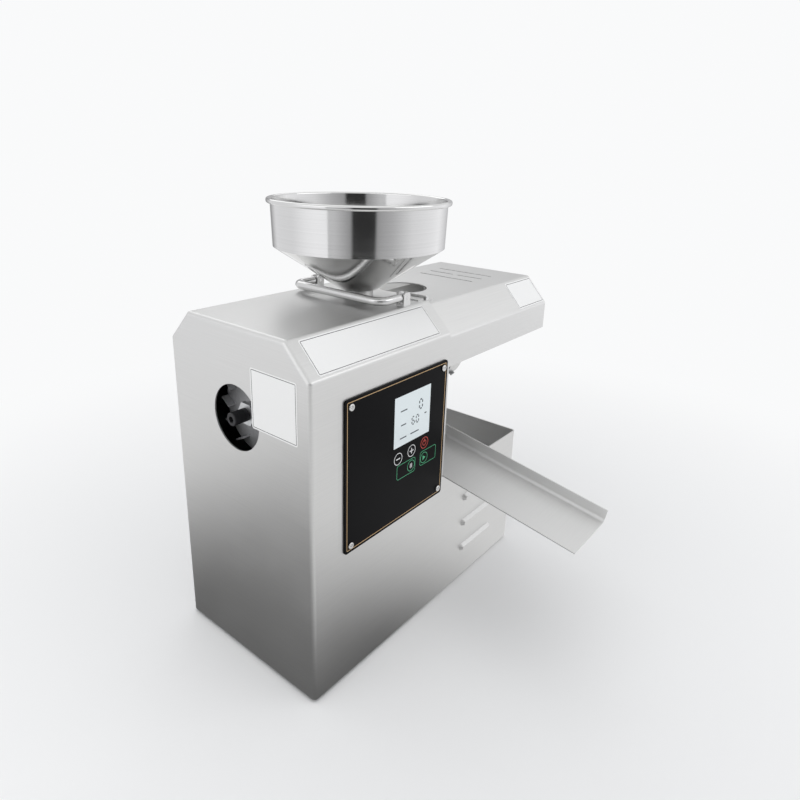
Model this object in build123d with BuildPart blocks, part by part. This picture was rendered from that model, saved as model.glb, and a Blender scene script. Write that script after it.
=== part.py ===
"""Small electric screw oil press for a kitchen or shop counter.

A tall bent-steel tower on the left holds a motor, a two-stage gearbox and the feed end of the
pressing barrel, all on one level axis. The barrel runs out to the right under a hinged hood, over a
sloping oil chute and a low open-topped box. A steel hopper stands on the tower.

X runs to the right, Y to the back, Z up. The origin is the middle of the whole machine's footprint, on
the surface that it stands on. Millimetres.
"""
import os
from math import cos, pi, radians, sin, tan

from build123d import *

os.makedirs("parts", exist_ok=True)

# Housing: a tower and a low box, bent from one gauge of stainless sheet
housing_width = 170.0
tower_length = 172.5
body_length = 316.0
tower_height = 306.5
tower_chamfer = 26.0
sheet = 1.2
bend_radius = 3.5
sheet_fit = 0.3
bulkhead_thickness = 2.0
base_thickness = 1.5
deck_drop = 39.0
deck_flange = 12.0

# Feet
foot_height = 3.0
foot_radius = 9.0
foot_inset = 20.0
foot_taper = 6

# Press axis: half way from front to back and below the roof; the low box ends below it
axis_below_roof = 76.5
box_below_axis = 93.0
fan_hole_radius = 28.0

# Control panel on the front
panel_size = 134.0
panel_from_left = 34.0
panel_below_roof = 48.5
panel_thickness = 1.5
panel_corner = 2.5
panel_screw_inset = 6.5
panel_screw_radius = 3.1
panel_screw_height = 1.6
board_window = 112.0
board_size = 108.0
board_thickness = 1.6
board_stud = 5.0
board_stud_radius = 3.0
board_stud_inset = 6.0
board_parts = 18.0
filter_width = 36.0
filter_height = 27.0
relay_size = 21.6
block_inset = 2.0
display_width = 50.0
display_height = 46.0
display_from_left = 59.5
display_from_bottom = 72.0
display_recess = 0.6

# Louvers in the low box: their length's middle and their heights are shares of the box
louver_length = 60.0
louver_height = 8.0
louver_depth = 3.5
louver_land = 1.5
louver_place = 0.484
louver_first = 0.26
louver_step = 0.22
louver_count = 3
louver_taper = 32
louver_mouth = 1.8

# Hopper
hopper_from_left = 144.0
hopper_rim_rise = 87.5
hopper_rim_radius = 81.8
hopper_wall_radius = 78.3
hopper_seam_radius = 77.0
hopper_seam_rise = 47.0
hopper_shelf_radius = 18.0
hopper_sheet = 0.9
spout_radius = 11.6
spout_length = 24.0
hopper_lift = 7.0
rim_bead = 4.2

# Feed tube between the hopper and the barrel
feed_tube_radius = 13.0
feed_tube_wall = 1.1
feed_hole_gap = 0.3

# Shaft line: stations along X, measured from the tower's left face
shaft_proud = 5.0
socket_length = 14.0
socket_radius = 5.6
socket_key = 5.0
socket_key_depth = 7.2
socket_chamfer = 0.6
fan_nut_radius = 10.5
fan_nut_length = 4.0
shaft_radius = 4.0
fan_start = 13.5
fan_radius = 39.0
fan_blades = 12
fan_hub_radius = 9.0
fan_hub_length = 9.0
fan_sheet = 1.2
blade_length = 11.0
blade_depth = 7.0
blade_lean = 35.0
motor_start = 26.0
motor_radius = 45.0
motor_wall = 3.5
rotor_radius = 27.5
bell_lip_radius = 8.0
bell_lip = 1.0
bell_shoulder = 5.0
bearing_outer = 11.0
bearing_length = 7.0
bell_length = 8.0
stator_length = 36.0
winding_room = 4.0
stand_thickness = 3.0
stand_foot_width = 120.0
stand_foot_reach = 34.0
stand_shoulder = 22.0
stand_side_angle = 84
stand_hole_gap = 2.0
cover_thickness = 4.0
gearbox_length = 41.5
gearbox_wall = 4.0
case_lip = 2.0
gearbox_radius = 35.0

# Gears: two equal stages, so that the screw lies in line with the motor
gear_module = 1.25
pinion_teeth = 12
wheel_teeth = 42
tooth_backlash = 0.7
pressure_angle = 20
tooth_rise = 0.9
tooth_fall = 1.25
pinion_width = 8.0
wheel_width = 7.0
second_pinion_width = 10.0
second_wheel_width = 9.0
gear_side_gap = 1.5
stage_gap = 2.5
countershaft_radius = 5.0
counter_end_radius = 4.0
bush_outer = 8.0
bush_length = 3.0
output_bearing_radius = 21.0
output_bearing_length = 12.0

# Barrel and screw
barrel_radius = 26.0
barrel_bore_radius = 15.6
barrel_flange_radius = 34.0
barrel_flange = 8.0
barrel_end_radius = 21.0
barrel_end_length = 12.0
feed_port_radius = 11.5
feed_boss_radius = 17.0
feed_boss_rise = 33.0
oil_slot_count = 7
oil_slot_share = 0.214
oil_slot_width = 1.6
oil_slot_step = 13.0
oil_slot_from_tower = 17.5
screw_radius = 15.2
screw_root_radius = 9.5
choke_radius = 12.0
screw_pitch = 21.0
screw_shank_radius = 10.0
flight_width = 3.2
flight_root_width = 5.1
flight_gap = 3.4
flight_stop = 4.0
thrust_bearing_radius = 17.5
thrust_bearing_length = 8.0
shoulder_length = 2.0
flight_sink = 1.0
screw_tip_radius = 7.5
screw_tip_reach = 24.0
choke_lead = 2.0
choke_length = 14.0
tube_seat = 4.0
flange_screw_radius = 3.2
flange_screw_count = 4
support_ring_length = 7.0

# Heater band and cake nozzle on the barrel
heater_from_end = 46.0
heater_length = 20.0
heater_radius = 36.5
heater_gap = 3.0
heater_ear = 5.0
terminal_angles = (12.0, 40.0)
probe_gap = 1.3
probe_radius = 5.0
probe_height = 10.0
terminal_radius = 2.6
terminal_height = 3.4
nozzle_length = 32.0
nozzle_radius = 26.0
nozzle_outlet_radius = 9.8
nozzle_chamfer = 2.0

# Hood over the barrel
hood_gap = 0.9
hood_reach = 363.5
hood_end_gap = 39.5
hood_inset = 1.0
hood_top_drop = 2.6
hood_depth = 58.0
hood_chamfer_run = 24.0
hood_chamfer_drop = 27.0
hood_sheet = 1.0
hood_bend = 3.0
hood_hole_radius = 24.5
hood_hole_from_tower = 37.0
hood_slot_width = 2.2
hood_slot_pitch = 19.3
hood_slot_count = 3
hood_slot_place = 0.543
hood_slot_length = 69.0
hood_slot_bridge = 6.0

# Hood hinge
hinge_from_wall = 2.9
hinge_radius = 2.7
hinge_pin_radius = 1.4
hinge_head_radius = 2.1
hinge_length = 24.0
hinge_from_front = 43.0
hinge_leaf = 1.0
hinge_leaf_reach = 12.0

# Oil chute
chute_width = 65.0
chute_from_wall = 0.6
chute_reach = 138.0
chute_tail = 128.0
chute_slope = 9.5
chute_sheet = 1.2
chute_lip = 12.0
chute_lip_radius = 3.0
rest_gap = 0.3
rail_width = 9.0
rail_height = 10.0

# Carry handle
handle_rod_radius = 3.7
handle_pivot_offset = 1.0
handle_reach = 30.0
handle_bend = 11.0
handle_rise = 7.0
handle_eye_width = 5.0
handle_pin_radius = 1.6
lug_length = 9.0
lug_cheek = 1.6
lug_floor = 1.5
lug_height = 11.5
lug_from_front = 32.0
lug_corner = 2.5

# Power inlet and rocker switch in the tower's back
inlet_width = 47.0
inlet_height = 25.0
inlet_proud = 5.0
inlet_from_left = 118.0
inlet_height_up = 46.0
switch_width = 28.0
switch_height = 21.0
switch_from_left = 62.0
switch_tilt = 8.0
switch_bezel = 2.0
switch_depth = 9.0
switch_corner = 1.5
switch_land = 1.5
switch_floor = 1.5
rocker_length = 20.0
rocker_height = 12.0
rocker_rise = 3.2
rocker_dip = 1.0
rocker_side_gap = 1.0
rocker_pivot_depth = 2.5
rocker_pivot_radius = 1.0
rocker_stub = 1.5
inlet_flange = 3.0
inlet_depth = 16.0
inlet_shroud_width = 28.0
inlet_shroud_height = 20.0
inlet_corner = 4.0
inlet_shroud_corner = 2.0
inlet_wall = 2.0
inlet_floor = 3.0
inlet_blade = 9.0
inlet_blade_width = 2.0
inlet_blade_height = 4.0
inlet_blade_pitch = 14.0
inlet_blade_drop = 1.5
inlet_earth_rise = 2.5
inlet_screw_radius = 2.6
inlet_screw_inset = 4.5

# General clearances
fit_gap = 0.05
running_gap = 0.08
air_gap = 0.5
cut_over = 1.0

# Places worked out from the sizes above
left = (shaft_proud - hood_reach) / 2
front = (chute_reach - housing_width - inlet_proud) / 2
bottom = foot_height
back = front + housing_width
axis_y = front + housing_width / 2
tower_top = bottom + tower_height
tower_right = left + tower_length
axis_z = tower_top - axis_below_roof
low_box_top = axis_z - box_below_axis
low_box_height = low_box_top - bottom
deck_height = low_box_height - deck_drop
gear_distance = gear_module * (pinion_teeth + wheel_teeth) / 2


def across(x):
    """A plane square to the press axis: sketch X is the machine's Y, sketch Y is Z."""
    return Plane.YZ.offset(x)


def upright(y):
    """A plane parallel to the front: sketch X is the machine's X, sketch Y is Z."""
    return Plane.XZ.offset(-y)


def level(z):
    """A level plane at height z."""
    return Plane.XY.offset(z)


def on_axis(x, drop=0.0):
    """A plane square to the press axis with its origin on the axis, or below it by a drop."""
    return Plane(origin=(x, axis_y, axis_z - drop), x_dir=(0, 1, 0), z_dir=(1, 0, 0))


def save(piece, name):
    """Label a finished piece and write it."""
    piece.part.label = name
    export_step(piece.part, f"parts/{name}.step")


def tower_section(inset):
    """The tower's section with its two long chamfers, drawn smaller by an inset."""
    shoulder = inset * tan(radians(22.5))
    foot = tower_top - tower_chamfer - shoulder
    near, far = front + inset, back - inset
    run = front + tower_chamfer + shoulder
    Polygon(
        (near, bottom), (near, foot), (run, tower_top - inset),
        (back - tower_chamfer - shoulder, tower_top - inset), (far, foot), (far, bottom),
        align=None,
    )


def housing_form(inset, bend):
    """The housing's outside, or with an inset the space inside its sheet, open where it is open."""
    with BuildPart() as form:
        with BuildSketch(across(left + inset)):
            tower_section(inset)
        extrude(amount=tower_length)
        with BuildSketch(level(bottom)):
            with Locations((left + inset, axis_y)):
                Rectangle(
                    body_length - 2 * inset, housing_width - 2 * inset, align=(Align.MIN, Align.CENTER)
                )
        extrude(amount=low_box_height + inset)
        end_edges = form.faces().sort_by(Axis.X)[0].edges().sort_by(Axis.Z)[1:]
        roof_edges = form.edges().filter_by(Axis.X).filter_by(
            lambda e: e.center().Z > low_box_top + bend_radius
        )
        corner_edges = form.edges().filter_by(Axis.Z).sort_by(Axis.X)[-2:]
        fillet(end_edges + roof_edges + corner_edges, radius=bend)
    return form.part


def wall_plane(x, y, z, facing):
    """A plane on an upright wall: facing is -1 for a front wall and 1 for a back wall."""
    return Plane(origin=(x, y, z), x_dir=(-facing, 0, 0), z_dir=(0, facing, 0))


def louver(plane):
    """A pressed louver on a wall's outside, open along its lower edge."""
    with BuildPart() as hump:
        with BuildSketch(plane):
            SlotOverall(louver_length, louver_height)
        extrude(amount=louver_depth, taper=louver_taper)
        with BuildSketch(plane.offset(-sheet)):
            SlotOverall(louver_length, louver_height)
        extrude(amount=louver_depth, taper=louver_taper, mode=Mode.SUBTRACT)
        with BuildSketch(plane):
            with Locations((0, -louver_height / 2)):
                Rectangle(louver_length - 2 * louver_height, louver_mouth * 2)
        extrude(amount=louver_depth - sheet, mode=Mode.SUBTRACT)
    return hump.part


def profile_plane(drop=0.0):
    """A plane along the press axis: sketch X is the distance from the tower's left face."""
    return Plane(origin=(left, axis_y, axis_z - drop), x_dir=(1, 0, 0), z_dir=(0, -1, 0))


def shaft_axis(drop=0.0):
    """The press axis, or a parallel axis below it."""
    return Axis((left, axis_y, axis_z - drop), (1, 0, 0))


def turned(stations, drop=0.0):
    """A turned piece from its outline: distance from the tower's left face, and radius."""
    with BuildPart() as body:
        with BuildSketch(profile_plane(drop)):
            with BuildLine():
                Polyline(*stations, close=True)
            make_face()
        revolve(axis=shaft_axis(drop))
    return body.part


def ring(start, length, outer, inner, drop=0.0):
    """A plain ring round the press axis, or round a parallel axis below it."""
    with BuildPart() as body:
        with BuildSketch(on_axis(left + start, drop)):
            Circle(outer)
            Circle(inner, mode=Mode.SUBTRACT)
        extrude(amount=length)
    return body.part


def gear(start, width, teeth, first_tooth, bore, drop=0.0):
    """A spur gear with straight-sided teeth; first_tooth is the angle of one tooth's middle."""
    pitch_radius = gear_module * teeth / 2
    root = pitch_radius - tooth_fall * gear_module
    tip = pitch_radius + tooth_rise * gear_module
    lean = tan(radians(pressure_angle - 90 / teeth))
    half = (pi * gear_module - tooth_backlash) / 4
    root_half = half + (pitch_radius - root) * lean
    tip_half = half - (tip - pitch_radius) * lean
    points = []
    for tooth in range(teeth):
        turn = radians(first_tooth + 360 * tooth / teeth)
        for radius, side in ((root, -root_half), (tip, -tip_half), (tip, tip_half), (root, root_half)):
            points.append((radius * cos(turn) - side * sin(turn), radius * sin(turn) + side * cos(turn)))
    with BuildPart() as body:
        with BuildSketch(on_axis(left + start, drop)):
            with BuildLine():
                Polyline(*points, close=True)
            make_face()
            Circle(bore, mode=Mode.SUBTRACT)
        extrude(amount=width)
    return body.part


# Rear wall openings: the inlet's and the switch's centres
inlet_x = left + inlet_from_left
inlet_z = bottom + inlet_height_up
switch_x = left + switch_from_left
louver_x = tower_right + louver_place * (body_length - tower_length)
louver_rows = [
    bottom + low_box_height * (louver_first + row * louver_step) for row in range(louver_count)
]
panel_x = left + panel_from_left + panel_size / 2
panel_z = tower_top - panel_below_roof - panel_size / 2
hopper_x = left + hopper_from_left

# Main housing: left end, L-shaped front and back, roof and the low box's right end in one skin
with BuildPart() as main_housing:
    add(housing_form(0, bend_radius))
    add(housing_form(sheet, bend_radius - sheet), mode=Mode.SUBTRACT)
    with BuildSketch(on_axis(left - sheet)):
        Circle(fan_hole_radius)
    extrude(amount=4 * sheet, mode=Mode.SUBTRACT)
    with BuildSketch(level(tower_top - 2 * sheet)):
        with Locations((hopper_x, axis_y)):
            Circle(feed_tube_radius + feed_hole_gap)
    extrude(amount=3 * sheet, mode=Mode.SUBTRACT)
    with BuildSketch(upright(front + 2 * sheet)):
        with Locations((panel_x, panel_z)):
            Rectangle(board_window, board_window)
        for row in louver_rows:
            with Locations((louver_x, row)):
                SlotOverall(louver_length - 2 * louver_land, louver_height - 2 * louver_land)
    extrude(amount=3 * sheet, mode=Mode.SUBTRACT)
    with BuildSketch(upright(back + sheet)):
        with Locations((inlet_x, inlet_z)):
            Rectangle(inlet_shroud_width + 2 * air_gap, inlet_shroud_height + 2 * air_gap)
        with Locations((switch_x, inlet_z)):
            Rectangle(switch_width - 2 * switch_land, switch_height - 2 * switch_land)
    extrude(amount=3 * sheet, mode=Mode.SUBTRACT)
    for row in louver_rows:
        add(louver(wall_plane(louver_x, front, row, -1)))
save(main_housing, "main_housing")

# Base plate that closes the housing from below, with a slot-free floor inside the bent walls
with BuildPart() as base_plate:
    with BuildSketch(level(bottom)):
        with Locations((left + body_length / 2, axis_y)):
            RectangleRounded(
                body_length - 2 * (sheet + sheet_fit), housing_width - 2 * (sheet + sheet_fit), bend_radius
            )
    extrude(amount=base_thickness)
save(base_plate, "base_plate")

# Four rubber feet under the base plate
with BuildPart() as rubber_feet:
    with BuildSketch(level(0)):
        with Locations((left + body_length / 2, axis_y)):
            with GridLocations(body_length - 2 * foot_inset, housing_width - 2 * foot_inset, 2, 2):
                Circle(foot_radius)
    extrude(amount=foot_height, taper=foot_taper)
save(rubber_feet, "rubber_feet")

# Inner right wall of the tower, with the barrel's bore and a cable opening near the floor
with BuildPart() as right_bulkhead:
    with BuildSketch(across(tower_right - bulkhead_thickness)):
        tower_section(sheet + sheet_fit)
        with Locations((axis_y, bottom)):
            Rectangle(
                housing_width, base_thickness + sheet_fit, align=(Align.CENTER, Align.MIN), mode=Mode.SUBTRACT
            )
        with Locations((axis_y, axis_z)):
            Circle(barrel_radius + fit_gap, mode=Mode.SUBTRACT)
        with Locations((axis_y, bottom + deck_height / 2)):
            SlotOverall(deck_height / 2, deck_height / 4, mode=Mode.SUBTRACT)
    extrude(amount=bulkhead_thickness)
save(right_bulkhead, "right_bulkhead")

# Deck inside the low box, which keeps drips off what lies below, with two flanges turned down
with BuildPart() as low_box_deck:
    deck_length = body_length - tower_length - sheet - 2 * sheet_fit
    deck_depth = housing_width - 2 * (sheet + sheet_fit)
    with BuildSketch(across(tower_right + sheet_fit)):
        with Locations((axis_y, bottom + deck_height)):
            Rectangle(deck_depth, deck_flange, align=(Align.CENTER, Align.MAX))
            with Locations((0, -sheet)):
                Rectangle(
                    deck_depth - 2 * sheet, deck_flange, align=(Align.CENTER, Align.MAX), mode=Mode.SUBTRACT
                )
    extrude(amount=deck_length - bend_radius)
save(low_box_deck, "low_box_deck")

# Control panel: a black plate with a shallow seat for the display window
display_x = left + panel_from_left + display_from_left + display_width / 2
display_z = panel_z - panel_size / 2 + display_from_bottom + display_height / 2
with BuildPart() as control_panel:
    with BuildSketch(upright(front)):
        with Locations((panel_x, panel_z)):
            RectangleRounded(panel_size, panel_size, panel_corner)
    extrude(amount=panel_thickness)
    with BuildSketch(upright(front - panel_thickness)):
        with Locations((display_x, display_z)):
            Rectangle(display_width, display_height)
    extrude(amount=-display_recess, mode=Mode.SUBTRACT)
save(control_panel, "control_panel")

with BuildPart() as display_window:
    with BuildSketch(upright(front - panel_thickness + display_recess)):
        with Locations((display_x, display_z)):
            Rectangle(display_width - 2 * fit_gap, display_height - 2 * fit_gap)
    extrude(amount=display_recess - fit_gap)
save(display_window, "display_window")

# Four pan-head screws at the panel's corners
panel_screw_pitch = panel_size - 2 * panel_screw_inset
with BuildPart() as panel_screws:
    with BuildSketch(upright(front - panel_thickness)):
        with Locations((panel_x, panel_z)):
            with GridLocations(panel_screw_pitch, panel_screw_pitch, 2, 2):
                Circle(panel_screw_radius)
    extrude(amount=panel_screw_height)
    chamfer(panel_screws.faces().filter_by(Axis.Y).group_by(Axis.Y)[0].edges(), length=panel_screw_height / 2)
save(panel_screws, "panel_screws")

# Control board behind the panel: the board, its display block, a relay and a mains filter, on studs
board_y = front + sheet + board_stud
with BuildPart() as control_board:
    with BuildSketch(upright(board_y + board_thickness)):
        with Locations((panel_x, panel_z)):
            Rectangle(board_size, board_size)
    extrude(amount=board_thickness)
    with BuildSketch(upright(board_y + board_thickness)):
        with Locations((panel_x - board_size / 4, panel_z - board_size / 4)):
            Rectangle(filter_width, filter_height)
        with Locations((panel_x + board_size / 4, panel_z - board_size / 4)):
            Rectangle(relay_size, relay_size)
    extrude(amount=-board_parts)
    with BuildSketch(upright(board_y)):
        with Locations((display_x, display_z)):
            Rectangle(display_width - 2 * block_inset, display_height - 2 * block_inset)
        with Locations((panel_x, panel_z)):
            with GridLocations(board_size - 2 * board_stud_inset, board_size - 2 * board_stud_inset, 2, 2):
                Circle(board_stud_radius)
    extrude(amount=board_stud + sheet - air_gap)
save(control_board, "control_board")

# Motor: tube, stator, two end bells
bell_end = motor_start + bell_length
stator_end = bell_end + stator_length
motor_end = stator_end + bell_length
tube_inner = motor_radius - motor_wall
core_start = bell_end + winding_room
core_length = stator_length - 2 * winding_room
with BuildPart() as motor_body:
    add(ring(bell_end, stator_length, motor_radius, tube_inner))
save(motor_body, "motor_body")

with BuildPart() as motor_stator:
    add(ring(core_start, core_length, tube_inner - fit_gap, rotor_radius + air_gap))
save(motor_stator, "motor_stator")

with BuildPart() as motor_end_bells:
    add(turned([
        (motor_start, bell_lip_radius), (motor_start, motor_radius - bell_shoulder),
        (motor_start + bell_shoulder, motor_radius), (bell_end, motor_radius),
        (bell_end, bearing_outer + fit_gap), (motor_start + bell_lip, bearing_outer + fit_gap),
        (motor_start + bell_lip, bell_lip_radius),
    ]))
    add(turned([
        (motor_end, bell_lip_radius), (motor_end, motor_radius), (stator_end, motor_radius),
        (stator_end, bearing_outer + fit_gap), (motor_end - bell_lip, bearing_outer + fit_gap),
        (motor_end - bell_lip, bell_lip_radius),
    ]))
save(motor_end_bells, "motor_end_bells")

# Stand that carries the motor and the gearbox on the base plate
stand_start = motor_end
cover_start = stand_start + stand_thickness
case_start = cover_start + cover_thickness
gearbox_end = cover_start + gearbox_length
case_floor = gearbox_end - output_bearing_length - case_lip
with BuildPart() as drive_stand:
    with BuildSketch(across(left + stand_start)):
        with Locations((axis_y, bottom + base_thickness)):
            Trapezoid(
                stand_foot_width, axis_z - bottom - base_thickness + stand_shoulder, stand_side_angle,
                align=(Align.CENTER, Align.MIN),
            )
        with Locations((axis_y, axis_z)):
            Circle(bearing_outer + stand_hole_gap, mode=Mode.SUBTRACT)
    extrude(amount=stand_thickness)
    with BuildSketch(level(bottom + base_thickness)):
        with Locations((left + stand_start, axis_y)):
            Rectangle(stand_foot_reach, stand_foot_width, align=(Align.MAX, Align.CENTER))
    extrude(amount=stand_thickness)
    with BuildSketch(upright(axis_y - stand_foot_width / 2 + stand_thickness)):
        with Locations((left + stand_start, bottom + base_thickness)):
            Polygon((0, 0), (-stand_foot_reach, 0), (0, stand_foot_reach), align=None)
        with Locations((left + stand_start, bottom + base_thickness)):
            Rectangle(stand_thickness, stand_thickness, align=(Align.MIN, Align.MIN))
    extrude(amount=stand_thickness)
    mirror(about=Plane.XZ.offset(-axis_y))
save(drive_stand, "drive_stand")

# Gearbox: a cover on the motor's side and a case with the output bearing's seat
stage_one = case_start + gear_side_gap
stage_two = stage_one + pinion_width + stage_gap
with BuildPart() as gearbox_cover:
    with BuildSketch(on_axis(left + cover_start)):
        with Locations((0, -gear_distance / 2)):
            SlotCenterToCenter(gear_distance, 2 * gearbox_radius, rotation=90)
        Circle(shaft_radius + air_gap, mode=Mode.SUBTRACT)
    extrude(amount=cover_thickness)
    with BuildSketch(on_axis(left + case_start, gear_distance)):
        Circle(bush_outer + fit_gap)
    extrude(amount=-cover_thickness / 2, mode=Mode.SUBTRACT)
save(gearbox_cover, "gearbox_cover")

with BuildPart() as gearbox_case:
    with BuildSketch(on_axis(left + case_start)):
        with Locations((0, -gear_distance / 2)):
            SlotCenterToCenter(gear_distance, 2 * gearbox_radius, rotation=90)
    extrude(amount=gearbox_length - cover_thickness)
    with BuildSketch(on_axis(left + case_start)):
        with Locations((0, -gear_distance / 2)):
            SlotCenterToCenter(gear_distance, 2 * (gearbox_radius - gearbox_wall), rotation=90)
    extrude(amount=case_floor - case_start, mode=Mode.SUBTRACT)
    with BuildSketch(on_axis(left + case_floor)):
        Circle(output_bearing_radius + fit_gap)
    extrude(amount=output_bearing_length, mode=Mode.SUBTRACT)
    with BuildSketch(on_axis(left + case_floor)):
        Circle(screw_shank_radius + case_lip)
    extrude(amount=gearbox_length, mode=Mode.SUBTRACT)
    with BuildSketch(on_axis(left + case_floor, gear_distance)):
        Circle(bush_outer + fit_gap)
    extrude(amount=bush_length, mode=Mode.SUBTRACT)
save(gearbox_case, "gearbox_case")

# Bearings: two on the motor shaft, one at the output; and two bushes for the countershaft
with BuildPart() as shaft_bearings:
    for start in (motor_start + bell_lip, motor_end - bell_lip - bearing_length):
        add(ring(start, bearing_length, bearing_outer, shaft_radius + running_gap))
    for start in (case_start - cover_thickness / 2, case_floor):
        add(ring(start, bush_length, bush_outer, counter_end_radius + running_gap, gear_distance))
    add(ring(case_floor, output_bearing_length, output_bearing_radius, screw_shank_radius + running_gap))
save(shaft_bearings, "shaft_bearings")

with BuildPart() as thrust_bearing:
    add(ring(
        gearbox_end + fit_gap, thrust_bearing_length, thrust_bearing_radius, screw_shank_radius + running_gap
    ))
save(thrust_bearing, "thrust_bearing")

# Motor shaft, on which the rotor, the pinion, the fan, its nut and the turning socket sit
shaft_start = socket_key_depth - shaft_proud
shaft_end = stage_one + pinion_width
with BuildPart() as motor_shaft:
    with BuildSketch(on_axis(left + shaft_start)):
        Circle(shaft_radius)
    extrude(amount=shaft_end - shaft_start)
save(motor_shaft, "motor_shaft")

# Black sleeve on the shaft's end, with a hexagon socket for turning a jammed screw by hand
with BuildPart() as turning_socket:
    with BuildSketch(on_axis(left - shaft_proud)):
        Circle(socket_radius)
    extrude(amount=socket_length)
    chamfer(turning_socket.faces().sort_by(Axis.X)[0].edges(), length=socket_chamfer)
    with BuildSketch(on_axis(left - shaft_proud)):
        RegularPolygon(socket_key / 2, 6, major_radius=False)
    extrude(amount=socket_key_depth, mode=Mode.SUBTRACT)
    with BuildSketch(on_axis(left + shaft_start)):
        Circle(shaft_radius + fit_gap)
    extrude(amount=socket_length, mode=Mode.SUBTRACT)
save(turning_socket, "turning_socket")

with BuildPart() as fan_nut:
    with BuildSketch(on_axis(left + fan_start - fan_nut_length)):
        RegularPolygon(fan_nut_radius, 6)
        Circle(shaft_radius + fit_gap, mode=Mode.SUBTRACT)
    extrude(amount=fan_nut_length - fit_gap)
save(fan_nut, "fan_nut")

# Cooling fan: a pressed disc with its blades bent up towards the end wall
disc_start = fan_start + fan_hub_length - fan_sheet
with BuildPart() as cooling_fan:
    with BuildSketch(on_axis(left + fan_start)):
        Circle(fan_hub_radius)
    extrude(amount=fan_hub_length)
    with BuildSketch(on_axis(left + disc_start)):
        Circle(fan_radius)
    extrude(amount=fan_sheet)
    with BuildSketch(on_axis(left + disc_start)):
        with PolarLocations(fan_radius - blade_length / 2, fan_blades):
            Rectangle(blade_length, fan_sheet, rotation=blade_lean)
    extrude(amount=-blade_depth)
    with BuildSketch(on_axis(left + fan_start)):
        Circle(shaft_radius + fit_gap)
    extrude(amount=fan_hub_length, mode=Mode.SUBTRACT)
save(cooling_fan, "cooling_fan")

with BuildPart() as motor_rotor:
    add(ring(core_start, core_length, rotor_radius, shaft_radius + fit_gap))
save(motor_rotor, "motor_rotor")

# Gears: the motor's pinion has a tooth straight down and the lower wheel a gap straight up
with BuildPart() as motor_pinion:
    add(gear(stage_one, pinion_width, pinion_teeth, -90, shaft_radius + fit_gap))
save(motor_pinion, "motor_pinion")

with BuildPart() as countershaft_wheel:
    add(gear(
        stage_one, wheel_width, wheel_teeth, 90 + 180 / wheel_teeth, countershaft_radius + fit_gap,
        gear_distance,
    ))
save(countershaft_wheel, "countershaft_wheel")

with BuildPart() as countershaft:
    add(turned([
        (case_start - cover_thickness / 2, 0), (case_start - cover_thickness / 2, counter_end_radius),
        (stage_one - air_gap, counter_end_radius), (stage_one - air_gap, countershaft_radius),
        (stage_two - air_gap, countershaft_radius), (stage_two - air_gap, counter_end_radius),
        (case_floor + bush_length, counter_end_radius), (case_floor + bush_length, 0),
    ], gear_distance))
save(countershaft, "countershaft")

with BuildPart() as countershaft_pinion:
    add(gear(stage_two, second_pinion_width, pinion_teeth, 90, counter_end_radius + fit_gap, gear_distance))
save(countershaft_pinion, "countershaft_pinion")

with BuildPart() as output_wheel:
    add(gear(
        stage_two, second_wheel_width, wheel_teeth, -90 + 180 / wheel_teeth, screw_shank_radius + fit_gap
    ))
save(output_wheel, "output_wheel")

# Press screw: a round root with a helical flight, and a choke cone behind the barrel's end
barrel_start = gearbox_end
barrel_end = hood_reach - hood_end_gap - screw_tip_reach
shoulder_start = barrel_start + thrust_bearing_length + 2 * fit_gap
flight_start = shoulder_start + shoulder_length + flight_gap
flight_end = barrel_end - flight_stop
with BuildPart() as press_screw:
    add(turned([
        (stage_two, 0), (stage_two, screw_shank_radius), (shoulder_start, screw_shank_radius),
        (shoulder_start, screw_radius), (shoulder_start + shoulder_length, screw_radius),
        (shoulder_start + shoulder_length, screw_root_radius), (barrel_end, screw_root_radius),
        (barrel_end + choke_lead, choke_radius), (barrel_end + choke_length, screw_tip_radius),
        (barrel_end + screw_tip_reach, screw_tip_radius), (barrel_end + screw_tip_reach, 0),
    ]))
    with BuildLine():
        path = Helix(
            pitch=screw_pitch, height=flight_end - flight_start, radius=screw_root_radius,
            center=(left + flight_start, axis_y, axis_z), direction=(1, 0, 0),
        )
    start = path @ 0
    outward = start - Vector(left + flight_start, axis_y, axis_z)
    with BuildSketch(Plane(origin=start, x_dir=outward, z_dir=path % 0)):
        depth = screw_radius - screw_root_radius
        Polygon(
            (-flight_sink, -flight_root_width / 2), (depth, -flight_width / 2),
            (depth, flight_width / 2), (-flight_sink, flight_root_width / 2), align=None,
        )
    sweep(path=path, is_frenet=True)
save(press_screw, "press_screw")

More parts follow.
